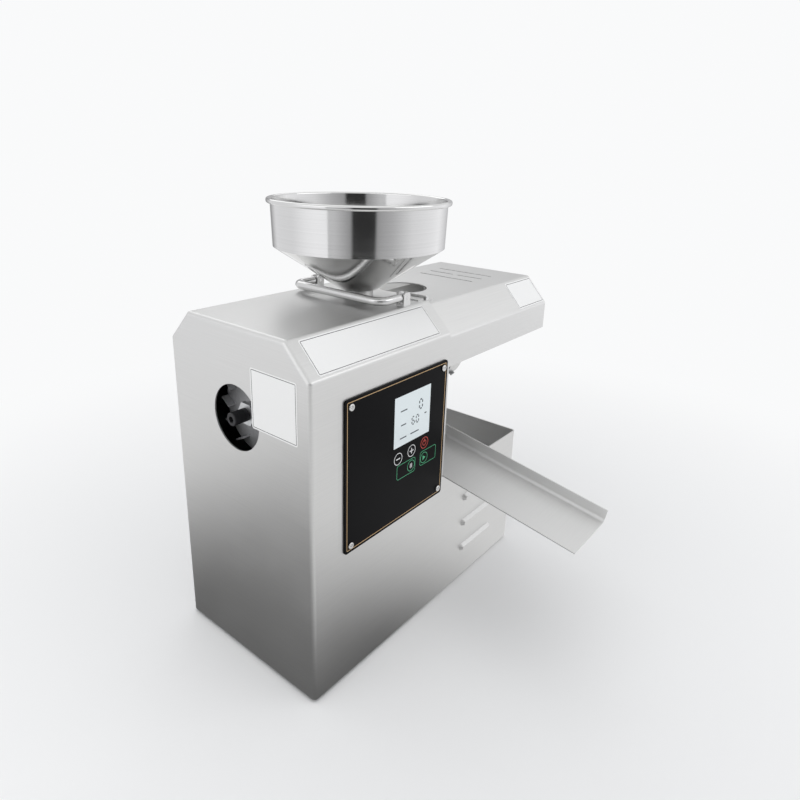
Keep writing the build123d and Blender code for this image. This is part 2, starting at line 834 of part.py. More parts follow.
# Barrel: flanged at the gearbox, bored through, with the feed port on top and oil slots below
barrel_step = barrel_end - barrel_end_length
oil_slot_length = oil_slot_share * (barrel_end - barrel_start)
oil_slot_middle = tower_right + oil_slot_from_tower + oil_slot_length / 2
with BuildPart() as barrel:
    add(turned([
        (barrel_start, 0), (barrel_start, barrel_flange_radius),
        (barrel_start + barrel_flange, barrel_flange_radius), (barrel_start + barrel_flange, barrel_radius),
        (barrel_step, barrel_radius), (barrel_step, barrel_end_radius), (barrel_end, barrel_end_radius),
        (barrel_end, 0),
    ]))
    with BuildSketch(level(axis_z)):
        with Locations((hopper_x, axis_y)):
            Circle(feed_boss_radius)
    extrude(amount=feed_boss_rise)
    add(turned([
        (barrel_start - cut_over, 0), (barrel_start - cut_over, thrust_bearing_radius + fit_gap),
        (shoulder_start, thrust_bearing_radius + fit_gap), (shoulder_start, barrel_bore_radius),
        (barrel_end + cut_over, barrel_bore_radius), (barrel_end + cut_over, 0),
    ]), mode=Mode.SUBTRACT)
    with BuildSketch(level(axis_z)):
        with Locations((hopper_x, axis_y)):
            Circle(feed_port_radius)
    extrude(amount=feed_boss_rise, mode=Mode.SUBTRACT)
    with BuildSketch(level(axis_z + feed_boss_rise - tube_seat)):
        with Locations((hopper_x, axis_y)):
            Circle(feed_tube_radius + fit_gap)
    extrude(amount=tube_seat, mode=Mode.SUBTRACT)
    for slot in range(oil_slot_count):
        turn = radians((slot - (oil_slot_count - 1) / 2) * oil_slot_step)
        with BuildSketch(Plane(
            origin=(oil_slot_middle, axis_y, axis_z), x_dir=(1, 0, 0), z_dir=(0, sin(turn), -cos(turn))
        )):
            SlotOverall(oil_slot_length, oil_slot_width)
        extrude(amount=barrel_radius + cut_over, mode=Mode.SUBTRACT)
save(barrel, "barrel")

# Cap screws that hold the barrel's flange to the gearbox
with BuildPart() as flange_screws:
    with BuildSketch(on_axis(left + barrel_start + barrel_flange)):
        with PolarLocations(
            (barrel_radius + barrel_flange_radius) / 2, flange_screw_count, start_angle=180 / flange_screw_count
        ):
            Circle(flange_screw_radius)
    extrude(amount=flange_screw_radius)
save(flange_screws, "flange_screws")

# Support ring on the bulkhead, which steadies the barrel where it leaves the tower
with BuildPart() as barrel_support_ring:
    with BuildSketch(on_axis(tower_right)):
        Circle(barrel_flange_radius)
        Circle(barrel_radius + fit_gap, mode=Mode.SUBTRACT)
    extrude(amount=support_ring_length)
save(barrel_support_ring, "barrel_support_ring")

# Heater band: a split ring with two ears over the split, and its two terminals in front
heater_start = barrel_end - heater_from_end
heater_middle = left + heater_start + heater_length / 2
probe_x = left + heater_start - probe_radius - probe_gap
with BuildPart() as heater_band:
    with BuildSketch(on_axis(left + heater_start)):
        Circle(heater_radius)
        with Locations((0, heater_radius)):
            Rectangle(2 * heater_ear + heater_gap, 2 * heater_ear)
        Circle(barrel_radius + fit_gap, mode=Mode.SUBTRACT)
        with Locations((0, heater_radius)):
            Rectangle(heater_gap, 2 * heater_radius, mode=Mode.SUBTRACT)
            with Locations((0, -heater_radius)):
                Rectangle(heater_gap, heater_radius, align=(Align.CENTER, Align.MIN), mode=Mode.SUBTRACT)
    extrude(amount=heater_length)
save(heater_band, "heater_band")

with BuildPart() as heater_terminals:
    for turn in terminal_angles:
        lean = radians(turn)
        with BuildSketch(Plane(
            origin=(heater_middle, axis_y, axis_z), x_dir=(1, 0, 0), z_dir=(0, -cos(lean), -sin(lean))
        ).offset(heater_radius)):
            Circle(terminal_radius)
        extrude(amount=terminal_height)
save(heater_terminals, "heater_terminals")

with BuildPart() as temperature_probe:
    with BuildSketch(level(axis_z + barrel_radius)):
        with Locations((probe_x, axis_y)):
            RegularPolygon(probe_radius, 6)
    extrude(amount=probe_height / 2)
    with BuildSketch(level(axis_z + barrel_radius + probe_height / 2)):
        with Locations((probe_x, axis_y)):
            Circle(probe_radius / 2)
    extrude(amount=probe_height / 2)
save(temperature_probe, "temperature_probe")

# Cake nozzle: a cap over the barrel's end whose bore narrows round the screw's choke cone
nozzle_end = barrel_step + nozzle_length
with BuildPart() as cake_nozzle:
    add(turned([
        (barrel_step, barrel_end_radius + fit_gap), (barrel_step, nozzle_radius),
        (nozzle_end - nozzle_chamfer, nozzle_radius), (nozzle_end, nozzle_radius - nozzle_chamfer),
        (nozzle_end, nozzle_outlet_radius), (barrel_end + choke_length, nozzle_outlet_radius),
        (barrel_end, barrel_bore_radius), (barrel_end, barrel_end_radius + fit_gap),
    ]))
save(cake_nozzle, "cake_nozzle")

# Feed tube from the barrel's boss up through the roof
tube_bottom = axis_z + feed_boss_rise - tube_seat
with BuildPart() as feed_tube:
    with BuildSketch(level(tube_bottom)):
        with Locations((hopper_x, axis_y)):
            Circle(feed_tube_radius)
            Circle(feed_tube_radius - feed_tube_wall, mode=Mode.SUBTRACT)
    extrude(amount=tower_top + hopper_lift - rest_gap - tube_bottom)
save(feed_tube, "feed_tube")

# Hopper: spun sheet with a spout, a cone, a short wall and a rolled rim
shelf = tower_top + hopper_lift
rim = tower_top + hopper_rim_rise
seam = tower_top + hopper_seam_rise
with BuildPart() as hopper:
    with BuildSketch(Plane(origin=(hopper_x, axis_y, 0), x_dir=(1, 0, 0), z_dir=(0, -1, 0))):
        with BuildLine():
            Polyline(
                (hopper_wall_radius - hopper_sheet, rim), (hopper_seam_radius - hopper_sheet, seam),
                (hopper_shelf_radius, shelf + hopper_sheet), (spout_radius - hopper_sheet, shelf + hopper_sheet),
                (spout_radius - hopper_sheet, shelf - spout_length), (spout_radius, shelf - spout_length),
                (spout_radius, shelf), (hopper_shelf_radius, shelf),
                (hopper_seam_radius, seam - hopper_sheet), (hopper_wall_radius, rim - rim_bead),
                (hopper_rim_radius, rim - 3 * rim_bead / 4), (hopper_rim_radius, rim - rim_bead / 4),
                (hopper_wall_radius, rim), close=True,
            )
        make_face()
    revolve(axis=Axis((hopper_x, axis_y, 0), (0, 0, 1)))
save(hopper, "hopper")

# Hood: a bent cover with a closed right end, a round opening over the barrel and vent slots
hood_left = tower_right + hood_gap
hood_right = left + hood_reach
hood_top = tower_top - hood_top_drop
hood_bottom = tower_top - hood_depth
hood_hole_x = tower_right + hood_hole_from_tower
hood_hole_end = hood_hole_x + hood_hole_radius
hood_slot_x = hood_hole_end + hood_slot_place * (hood_right - hood_hole_end)


def hood_form(inset, bend):
    """The hood's outside, or with an inset the space inside its sheet, open below and to the left."""
    near, far = front + hood_inset, back - hood_inset
    with BuildPart() as form:
        with BuildSketch(across(hood_left - inset)):
            Polygon(
                (near, hood_bottom - 2 * inset), (near, hood_top - hood_chamfer_drop),
                (near + hood_chamfer_run, hood_top), (far - hood_chamfer_run, hood_top),
                (far, hood_top - hood_chamfer_drop), (far, hood_bottom - 2 * inset), align=None,
            )
            if inset:
                offset(amount=-inset, kind=Kind.INTERSECTION)
        extrude(amount=hood_right - hood_left)
        end_edges = form.faces().sort_by(Axis.X)[-1].edges().sort_by(Axis.Z)[1:]
        roof_edges = form.edges().filter_by(Axis.X).filter_by(
            lambda e: e.center().Z > hood_bottom + hood_bend
        )
        fillet(end_edges + roof_edges, radius=bend)
    return form.part


with BuildPart() as hood:
    add(hood_form(0, hood_bend))
    add(hood_form(hood_sheet, hood_bend - hood_sheet), mode=Mode.SUBTRACT)
    with BuildSketch(level(hood_top - 2 * hood_sheet)):
        with Locations((hood_hole_x, axis_y)):
            Circle(hood_hole_radius)
        with Locations((hood_slot_x, axis_y)):
            with GridLocations(hood_slot_pitch, hood_slot_length, hood_slot_count, 1):
                SlotOverall(hood_slot_length, hood_slot_width, rotation=90)
            Rectangle(2 * hood_slot_width, hood_slot_bridge, mode=Mode.SUBTRACT)
    extrude(amount=3 * hood_sheet, mode=Mode.SUBTRACT)
save(hood, "hood")

# Hood hinges: leaves and knuckles on the tower, one knuckle each on the hood, and a pin through both
hinge_x = tower_right + hinge_from_wall
hinge_z = hood_top + hinge_radius + rest_gap
hinge_rows = [front + hinge_from_front, back - hinge_from_front]
knuckle = hinge_length / 3


def hinge_part(y, side, leaf_bottom, knuckles):
    """Leaf and knuckles of one hinge: side -1 lies on the tower, 1 on the hood."""
    with BuildPart() as body:
        for place in knuckles:
            with BuildSketch(upright(y + place + knuckle / 2 - rest_gap / 2)):
                with Locations((hinge_x, hinge_z)):
                    Circle(hinge_radius)
                with Locations((hinge_x, leaf_bottom)):
                    Rectangle(
                        hinge_leaf_reach, hinge_leaf, align=(Align.MIN if side > 0 else Align.MAX, Align.MIN)
                    )
            extrude(amount=knuckle - rest_gap)
        with BuildSketch(level(leaf_bottom)):
            with Locations((hinge_x + side * (hinge_radius + air_gap), y)):
                Rectangle(
                    hinge_leaf_reach - hinge_radius - air_gap, hinge_length,
                    align=(Align.MIN if side > 0 else Align.MAX, Align.CENTER),
                )
        extrude(amount=hinge_leaf)
        with BuildSketch(upright(y + hinge_length)):
            with Locations((hinge_x, hinge_z)):
                Circle(hinge_pin_radius + fit_gap)
        extrude(amount=2 * hinge_length, mode=Mode.SUBTRACT)
    return body.part


with BuildPart() as hood_hinge_leaves:
    for row in hinge_rows:
        add(hinge_part(row, -1, tower_top, (-knuckle, knuckle)))
save(hood_hinge_leaves, "hood_hinge_leaves")

with BuildPart() as hood_hinge_knuckles:
    for row in hinge_rows:
        add(hinge_part(row, 1, hood_top, (0,)))
save(hood_hinge_knuckles, "hood_hinge_knuckles")

with BuildPart() as hood_hinge_pins:
    for row in hinge_rows:
        with BuildSketch(upright(row + hinge_length / 2)):
            with Locations((hinge_x, hinge_z)):
                Circle(hinge_pin_radius)
        extrude(amount=hinge_length + rest_gap)
        with BuildSketch(upright(row - hinge_length / 2 - rest_gap)):
            with Locations((hinge_x, hinge_z)):
                Circle(hinge_head_radius)
        extrude(amount=hinge_pin_radius)
save(hood_hinge_pins, "hood_hinge_pins")

# Oil chute: a flat tray that slopes down to the front, with its right edge turned up
slope = radians(chute_slope)
chute_origin = (
    tower_right + chute_from_wall, front, low_box_top + (rest_gap + chute_sheet) / cos(slope)
)
chute_section = Plane(origin=chute_origin, x_dir=(1, 0, 0), z_dir=(0, -cos(slope), -sin(slope)))
chute_front = (chute_reach - chute_lip * sin(slope)) / cos(slope)
chute_back = chute_tail / cos(slope)
with BuildPart() as oil_chute:
    with BuildSketch(chute_section.offset(-chute_back)) as section:
        with BuildLine():
            Polyline(
                (0, 0), (0, -chute_sheet), (chute_width, -chute_sheet), (chute_width, chute_lip),
                (chute_width - chute_sheet, chute_lip), (chute_width - chute_sheet, 0), close=True,
            )
        make_face()
        inner = section.vertices().sort_by_distance((chute_width - chute_sheet, 0))[0]
        fillet(inner, radius=chute_lip_radius)
        outer = section.vertices().sort_by_distance((chute_width, -chute_sheet))[0]
        fillet(outer, radius=chute_lip_radius + chute_sheet)
    extrude(amount=chute_front + chute_back)
save(oil_chute, "oil_chute")

# Rail on the bulkhead that the chute's left edge slides on
with BuildPart() as chute_rail:
    with BuildSketch(chute_section.offset(-chute_back + 2 * rail_width)):
        with Locations((-chute_from_wall, -chute_sheet - rest_gap)):
            Rectangle(rail_width, sheet, align=(Align.MIN, Align.MAX))
            Rectangle(sheet, rail_height, align=(Align.MIN, Align.MAX))
    extrude(amount=chute_back - 3 * rail_width)
save(chute_rail, "chute_rail")

# Carry handle: a bent rod with a flat eye at each end, pinned in two forked lugs on the roof
pivot_x = hopper_x - handle_pivot_offset
handle_z = tower_top + handle_rise
rod_start = pivot_x - lug_length / 2 - cut_over
bar_x = pivot_x - handle_reach
leg_rows = (front + lug_from_front, back - lug_from_front)
with BuildPart() as carry_handle:
    with BuildLine():
        rod = FilletPolyline(
            (rod_start, leg_rows[0], handle_z), (bar_x, leg_rows[0], handle_z),
            (bar_x, leg_rows[1], handle_z), (rod_start, leg_rows[1], handle_z), radius=handle_bend,
        )
    with BuildSketch(Plane(origin=rod @ 0, z_dir=rod % 0)):
        Circle(handle_rod_radius)
    sweep(path=rod)
    for row in leg_rows:
        with BuildSketch(upright(row + handle_eye_width / 2)):
            with Locations((pivot_x, handle_z)):
                Circle(handle_rod_radius)
                Rectangle(pivot_x - rod_start, 2 * handle_rod_radius, align=(Align.MAX, Align.CENTER))
                Circle(handle_pin_radius + running_gap, mode=Mode.SUBTRACT)
        extrude(amount=handle_eye_width)
save(carry_handle, "carry_handle")

lug_width = handle_eye_width + 2 * (rest_gap + lug_cheek)
with BuildPart() as handle_lugs:
    for row in leg_rows:
        with BuildSketch(upright(row + lug_width / 2)):
            with Locations((pivot_x, tower_top)):
                Rectangle(lug_length, lug_height, align=(Align.CENTER, Align.MIN))
        extrude(amount=lug_width)
    upper = handle_lugs.edges().filter_by(Axis.Y).filter_by(lambda e: e.center().Z > handle_z)
    fillet(upper, radius=lug_corner)
    with BuildSketch(level(tower_top + lug_floor)):
        for row in leg_rows:
            with Locations((pivot_x, row)):
                Rectangle(2 * lug_length, handle_eye_width + 2 * rest_gap)
    extrude(amount=lug_height, mode=Mode.SUBTRACT)
    with BuildSketch(upright(back)):
        with Locations((pivot_x, handle_z)):
            Circle(handle_pin_radius + fit_gap)
    extrude(amount=housing_width, mode=Mode.SUBTRACT)
save(handle_lugs, "handle_lugs")

with BuildPart() as handle_pins:
    for row in leg_rows:
        with BuildSketch(upright(row + lug_width / 2)):
            with Locations((pivot_x, handle_z)):
                Circle(handle_pin_radius)
        extrude(amount=lug_width)
save(handle_pins, "handle_pins")

# Power inlet in the tower's back: flange, shroud and three blades
with BuildPart() as power_inlet:
    socket = wall_plane(inlet_x, back, inlet_z, 1)
    with BuildSketch(socket):
        RectangleRounded(inlet_width, inlet_height, inlet_corner)
    extrude(amount=inlet_flange)
    with BuildSketch(socket.offset(-inlet_depth)):
        RectangleRounded(inlet_shroud_width, inlet_shroud_height, inlet_shroud_corner)
    extrude(amount=inlet_depth + inlet_proud)
    with BuildSketch(socket.offset(inlet_proud)):
        Rectangle(inlet_shroud_width - 2 * inlet_wall, inlet_shroud_height - 2 * inlet_wall)
    extrude(amount=inlet_floor - inlet_depth - inlet_proud, mode=Mode.SUBTRACT)
    with BuildSketch(socket.offset(inlet_floor - inlet_depth)):
        side = inlet_blade_pitch / 2
        with Locations((-side, -inlet_blade_drop), (side, -inlet_blade_drop), (0, inlet_earth_rise)):
            Rectangle(inlet_blade_width, inlet_blade_height)
    extrude(amount=inlet_blade)
save(power_inlet, "power_inlet")

with BuildPart() as inlet_screws:
    with BuildSketch(wall_plane(inlet_x, back, inlet_z, 1).offset(inlet_flange)):
        with GridLocations(inlet_width - 2 * inlet_screw_inset, inlet_height, 2, 1):
            Circle(inlet_screw_radius)
    extrude(amount=inlet_screw_radius / 2)
save(inlet_screws, "inlet_screws")

# Mains switch: a frame in the back wall and a rocker on two stub pivots
with BuildPart() as switch_frame:
    seat = wall_plane(switch_x, back, inlet_z, 1)
    with BuildSketch(seat):
        RectangleRounded(switch_width, switch_height, switch_corner)
    extrude(amount=switch_bezel)
    with BuildSketch(seat.offset(-switch_depth)):
        cut = 2 * (switch_land + sheet_fit)
        Rectangle(switch_width - cut, switch_height - cut)
    extrude(amount=switch_depth)
    with BuildSketch(seat.offset(switch_bezel)):
        Rectangle(rocker_length + 2 * rocker_side_gap, rocker_height + 2 * air_gap)
    extrude(amount=switch_floor - switch_bezel - switch_depth, mode=Mode.SUBTRACT)
    with BuildSketch(level(inlet_z - switch_height)):
        with Locations((switch_x, back - rocker_pivot_depth)):
            Circle(rocker_pivot_radius + fit_gap)
    extrude(amount=2 * switch_height, mode=Mode.SUBTRACT)
save(switch_frame, "switch_frame")

with BuildPart() as switch_rocker:
    tilt = radians(switch_tilt)
    rocker_plane = Plane(
        origin=(switch_x, back - rocker_pivot_depth, inlet_z - rocker_height / 2),
        x_dir=(cos(tilt), sin(tilt), 0), z_dir=(0, 0, 1),
    )
    with BuildSketch(rocker_plane):
        half = rocker_length / 2
        Polygon(
            (-half, -rocker_pivot_depth), (half, -rocker_pivot_depth), (half, rocker_rise),
            (0, rocker_rise - rocker_dip), (-half, rocker_rise), align=None,
        )
    extrude(amount=rocker_height)
    with BuildSketch(rocker_plane.offset(-rocker_stub)):
        Circle(rocker_pivot_radius)
    extrude(amount=rocker_height + 2 * rocker_stub)
save(switch_rocker, "switch_rocker")
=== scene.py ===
# %% [markdown]
# A small screw oil press
#
# The machine's shapes come from its construction model, which is loaded here as a fixed frame. This
# script gives every surface its finish, adds the pieces that are too fine or too soft in form for the
# construction model, and sets up a small photo studio. It is in cells: each step is explained first,
# and its code follows. All lengths are metres, X runs to the right, Y to the back and Z up.

# %% Load the construction model
import math

import bmesh
import bpy
from mathutils import Matrix, Vector


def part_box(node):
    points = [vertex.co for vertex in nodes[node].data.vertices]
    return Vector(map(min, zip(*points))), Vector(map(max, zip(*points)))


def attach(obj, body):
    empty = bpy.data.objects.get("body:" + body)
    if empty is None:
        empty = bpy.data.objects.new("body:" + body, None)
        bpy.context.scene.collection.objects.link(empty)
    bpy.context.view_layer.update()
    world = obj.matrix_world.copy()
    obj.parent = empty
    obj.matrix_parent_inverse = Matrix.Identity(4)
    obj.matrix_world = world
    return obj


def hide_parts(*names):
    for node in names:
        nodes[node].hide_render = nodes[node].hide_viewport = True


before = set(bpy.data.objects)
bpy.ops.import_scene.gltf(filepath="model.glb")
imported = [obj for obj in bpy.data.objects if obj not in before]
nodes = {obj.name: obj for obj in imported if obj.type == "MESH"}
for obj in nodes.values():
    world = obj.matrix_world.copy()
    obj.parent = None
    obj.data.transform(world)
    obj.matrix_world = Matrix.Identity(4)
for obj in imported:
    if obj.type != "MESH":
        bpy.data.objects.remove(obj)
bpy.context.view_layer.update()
MM = 0.001

# %% Mesh helpers
def points_of(geometry):
    """The points among what a bmesh operator made."""
    return [item for item in geometry if isinstance(item, bmesh.types.BMVert)]


def thicken(form, faces, depth):
    """Extrude flat faces by a vector, so that they become a thin plate."""
    made = bmesh.ops.extrude_face_region(form, geom=faces)["geom"]
    bmesh.ops.translate(form, vec=depth, verts=points_of(made))


print("mesh helpers ready")

# %% [markdown]
# The camera
#
# A photograph is a projection, so a render can lie on top of it only if the camera stands at the same
# place. The place, the three angles and the focal length were worked out from the corners of the
# housing and of its panel in the photograph. The camera looks to the right and down, and is rolled a
# little. Its axis doesn't pass through the middle of the picture, which is what the shift is for.

# %% Camera
camera_place = Vector((-0.4574, -0.3128, 0.4394))
yaw, pitch, roll = math.radians(50.60), math.radians(18.19), math.radians(1.35)
view = Vector((
    math.sin(yaw) * math.cos(pitch), math.cos(yaw) * math.cos(pitch), -math.sin(pitch)
))
level_right = view.cross(Vector((0, 0, 1))).normalized()
level_up = level_right.cross(view)
right = math.cos(roll) * level_right + math.sin(roll) * level_up
up = -math.sin(roll) * level_right + math.cos(roll) * level_up
camera = bpy.data.objects.new("camera", bpy.data.cameras.new("camera"))
bpy.context.scene.collection.objects.link(camera)
camera.matrix_world = Matrix.Translation(camera_place) @ Matrix((right, up, -view)).transposed().to_4x4()
camera.data.sensor_width = 36.0
camera.data.lens = 28.17
camera.data.shift_x, camera.data.shift_y = 0.0194, -0.0581
camera.data.clip_start = 0.01
bpy.context.scene.camera = camera
print("camera at", tuple(round(v, 3) for v in camera_place))

# %% [markdown]
# The studio
#
# Steel has almost no colour of its own: it shows what stands round it. So the studio matters more than
# the paint. A pale floor runs out into white, and large soft lamps stand round the machine. The one
# overhead lights the floor and the paints, but has no mirror image, because a level roof would show it
# as a patch of pure white.

# %% Studio floor, world and lamps
def new_tree(owner):
    owner.use_nodes = True
    owner.node_tree.nodes.clear()
    return owner.node_tree.nodes, owner.node_tree.links


def soft_lamp(name, place, target, size, watts, tall=None):
    data = bpy.data.lights.new(name, "AREA")
    data.shape = "RECTANGLE"
    data.size, data.size_y, data.energy = size, tall or size, watts
    lamp = bpy.data.objects.new(name, data)
    bpy.context.scene.collection.objects.link(lamp)
    lamp.location = place
    lamp.rotation_euler = (Vector(target) - Vector(place)).to_track_quat("-Z", "Y").to_euler()
    return lamp


WHITE_SEEN = (0.95, 0.955, 0.96, 1)
world = bpy.data.worlds.new("studio")
bpy.context.scene.world = world
tree, links = new_tree(world)
out = tree.new("ShaderNodeOutputWorld")
lit = tree.new("ShaderNodeBackground")
seen = tree.new("ShaderNodeBackground")
choose = tree.new("ShaderNodeMixShader")
ray = tree.new("ShaderNodeLightPath")
camera_or_gloss = tree.new("ShaderNodeMath")
camera_or_gloss.operation = "MAXIMUM"
any_seen = tree.new("ShaderNodeMath")
any_seen.operation = "MAXIMUM"
lit.inputs["Color"].default_value = (0.95, 0.97, 1.0, 1)
lit.inputs["Strength"].default_value = 0.45
seen.inputs["Color"].default_value = WHITE_SEEN
links.new(ray.outputs["Is Camera Ray"], camera_or_gloss.inputs[0])
links.new(ray.outputs["Is Glossy Ray"], camera_or_gloss.inputs[1])
links.new(camera_or_gloss.outputs[0], any_seen.inputs[0])
links.new(ray.outputs["Is Transmission Ray"], any_seen.inputs[1])
links.new(any_seen.outputs[0], choose.inputs["Fac"])
links.new(lit.outputs[0], choose.inputs[1])
links.new(seen.outputs[0], choose.inputs[2])
links.new(choose.outputs[0], out.inputs["Surface"])
bpy.context.scene.view_settings.view_transform = "Standard"

lamp_top = soft_lamp("lamp_top", (-0.1, 0.1, 1.5), (0, 0.05, 0.2), 2.0, 15)
lamp_top.visible_glossy = False
soft_lamp("lamp_left", (-1.7, 0.25, 0.62), (-0.15, 0.05, 0.22), 2.0, 7, tall=1.1)
soft_lamp("lamp_front", (0.7, -1.5, 0.9), (0, 0, 0.2), 1.8, 8, tall=1.2)
soft_lamp("lamp_back", (0.8, 1.5, 1.3), (0, 0.05, 0.2), 1.6, 5)

# %% Floor
FLOOR_RADIUS = 9.0
FADE_STARTS, FADE_ENDS = 0.24, 0.85


def studio_piece(form, name, paint):
    """Make a bmesh into an object of the studio."""
    mesh = bpy.data.meshes.new(name)
    form.to_mesh(mesh)
    form.free()
    mesh.materials.append(paint)
    made = bpy.data.objects.new(name, mesh)
    bpy.context.scene.collection.objects.link(made)
    return made


pale = bpy.data.materials.new("pale_floor")
tree, links = new_tree(pale)
out = tree.new("ShaderNodeOutputMaterial")
matt = tree.new("ShaderNodeBsdfDiffuse")
glow = tree.new("ShaderNodeEmission")
blend = tree.new("ShaderNodeMixShader")
place = tree.new("ShaderNodeTexCoord")
distance = tree.new("ShaderNodeVectorMath")
distance.operation = "LENGTH"
fade = tree.new("ShaderNodeMapRange")
fade.interpolation_type = "SMOOTHSTEP"
matt.inputs["Color"].default_value = (0.84, 0.84, 0.84, 1)
glow.inputs["Color"].default_value = WHITE_SEEN
fade.inputs["From Min"].default_value = FADE_STARTS
fade.inputs["From Max"].default_value = FADE_ENDS
links.new(place.outputs["Object"], distance.inputs[0])
links.new(distance.outputs["Value"], fade.inputs["Value"])
links.new(fade.outputs["Result"], blend.inputs["Fac"])
links.new(matt.outputs[0], blend.inputs[1])
links.new(glow.outputs[0], blend.inputs[2])
links.new(blend.outputs[0], out.inputs["Surface"])
floor_form = bmesh.new()
bmesh.ops.create_circle(floor_form, cap_ends=True, segments=96, radius=FLOOR_RADIUS)
floor = studio_piece(floor_form, "floor", pale)
print("floor radius", FLOOR_RADIUS, "m, white from", FADE_ENDS, "m")

# %% [markdown]
# The card round the machine
#
# A polished bowl in a white room has no form. A product photographer stands dark and pale cards round
# it, which are seen only in its reflections. Here they are one upright ring, whose grey changes with
# the bearing: nearly black in a narrow band beside the camera, which is the dark stripe down the
# hopper's front, and paler to both sides of it.

# %% Wall card
WALL_RADIUS, WALL_HEIGHT, WALL_STRENGTH = 1.25, 0.75, 1.15
COOL_TINT = 1.02
BEARING_GREYS = [
    (0, 0.8), (22, 0.5), (50, 0.45), (72, 0.3), (93, 0.8), (130, 0.8), (151, 0.95), (163, 1.0),
    (172, 1.0), (188, 0.6), (208, 0.33), (211, 0.03), (238, 0.03), (241, 0.36), (262, 0.5),
    (290, 0.8), (345, 1.0),
]
wall_paint = bpy.data.materials.new("wall_card")
tree, links = new_tree(wall_paint)
out = tree.new("ShaderNodeOutputMaterial")
glow = tree.new("ShaderNodeEmission")
place = tree.new("ShaderNodeTexCoord")
apart = tree.new("ShaderNodeSeparateXYZ")
bearing = tree.new("ShaderNodeMath")
bearing.operation = "ARCTAN2"
whole_turn = tree.new("ShaderNodeMapRange")
whole_turn.inputs["From Min"].default_value = -math.pi
whole_turn.inputs["From Max"].default_value = math.pi
ramp = tree.new("ShaderNodeValToRGB")
links.new(place.outputs["Object"], apart.inputs[0])
links.new(apart.outputs["Y"], bearing.inputs[0])
links.new(apart.outputs["X"], bearing.inputs[1])
links.new(bearing.outputs[0], whole_turn.inputs["Value"])
links.new(whole_turn.outputs["Result"], ramp.inputs["Fac"])
links.new(ramp.outputs["Color"], glow.inputs["Color"])
links.new(glow.outputs[0], out.inputs["Surface"])
stops = sorted(((angle + 180) % 360 / 360, grey) for angle, grey in BEARING_GREYS)
while len(ramp.color_ramp.elements) < len(stops):
    ramp.color_ramp.elements.new(0.5)
for element, (where, grey) in zip(ramp.color_ramp.elements, stops):
    element.position = where
    element.color = (grey, grey, grey * COOL_TINT, 1)
glow.inputs["Strength"].default_value = WALL_STRENGTH
wall_form = bmesh.new()
bmesh.ops.create_circle(wall_form, cap_ends=False, segments=128, radius=WALL_RADIUS)
raised = bmesh.ops.extrude_edge_only(wall_form, edges=wall_form.edges[:])["geom"]
bmesh.ops.translate(wall_form, vec=(0, 0, WALL_HEIGHT), verts=points_of(raised))
wall_card = studio_piece(wall_form, "wall_card", wall_paint)
wall_card.visible_camera = wall_card.visible_diffuse = wall_card.visible_shadow = False
print("wall card:", len(stops), "shades of grey")

# %% [markdown]
# The painted shade card on the floor
#
# A bright wall that stands on a bright floor looks flat. Real steel gets darker towards the floor,
# because its lower part mirrors the shaded floor close to its foot. A round card on the floor paints
# that
# shade: seen only in reflections, it is dark under the machine and fades to the floor's own white
# further out, faster in front and to the right than at the left, as the light falls in the photograph.

# %% Floor card
# The card's emission is painted shade: darkest under the machine, fading outwards, and seen only in
# reflections.
CARD_RADIUS, CARD_PLACE = 0.8, (0, 0.03, 0.0005)
SHADE_FOOT_X, SHADE_FOOT_Y = (-0.19, -0.11), (-0.019, 0.15)
PACE_LEFT, PACE_RIGHT, PACE_FRONT, PACE_BACK = 0.62, 1.4, 1.6, 1.0
FOOT_SHADE_GREY, FAR_GREY, FADE_LENGTH = 0.13, 0.92, 0.36
painted_shade_card = bpy.data.materials.new("painted_shade_card")
tree, links = new_tree(painted_shade_card)
out = tree.new("ShaderNodeOutputMaterial")
glow = tree.new("ShaderNodeEmission")
place = tree.new("ShaderNodeTexCoord")
apart = tree.new("ShaderNodeSeparateXYZ")
links.new(place.outputs["Object"], apart.inputs[0])


def beyond(value, low, high, pace_below, pace_above):
    """How far a place is outside the painted shade at the machine's foot on one axis, times that side's
    pace of fading.
    """
    nearest = tree.new("ShaderNodeMath")
    nearest.operation = "MAXIMUM"
    for slot, (edge, pace) in enumerate(((low, -pace_below), (high, pace_above))):
        past = tree.new("ShaderNodeMath")
        past.operation = "MULTIPLY_ADD"
        links.new(value, past.inputs[0])
        past.inputs[1].default_value = pace
        past.inputs[2].default_value = -edge * pace
        links.new(past.outputs[0], nearest.inputs[slot])
    outside = tree.new("ShaderNodeMath")
    outside.operation = "MAXIMUM"
    links.new(nearest.outputs[0], outside.inputs[0])
    outside.inputs[1].default_value = 0.0
    return outside.outputs[0]


offset = tree.new("ShaderNodeCombineXYZ")
links.new(beyond(apart.outputs["X"], *SHADE_FOOT_X, PACE_LEFT, PACE_RIGHT), offset.inputs[0])
links.new(beyond(apart.outputs["Y"], *SHADE_FOOT_Y, PACE_FRONT, PACE_BACK), offset.inputs[1])
away = tree.new("ShaderNodeVectorMath")
away.operation = "LENGTH"
links.new(offset.outputs[0], away.inputs[0])
shade = tree.new("ShaderNodeMapRange")
shade.interpolation_type = "SMOOTHSTEP"
shade.inputs["From Min"].default_value = 0.0
shade.inputs["From Max"].default_value = FADE_LENGTH
shade.inputs["To Min"].default_value = FOOT_SHADE_GREY
shade.inputs["To Max"].default_value = FAR_GREY
links.new(away.outputs["Value"], shade.inputs["Value"])
links.new(shade.outputs["Result"], glow.inputs["Color"])
links.new(glow.outputs[0], out.inputs["Surface"])
card_form = bmesh.new()
bmesh.ops.create_circle(card_form, cap_ends=True, segments=96, radius=CARD_RADIUS)
bmesh.ops.translate(card_form, vec=CARD_PLACE, verts=card_form.verts)
floor_shade_card = studio_piece(card_form, "floor_shade_card", painted_shade_card)
floor_shade_card.visible_camera = floor_shade_card.visible_diffuse = floor_shade_card.visible_shadow = False
print("studio set, with", len(bpy.data.lights), "lamps")

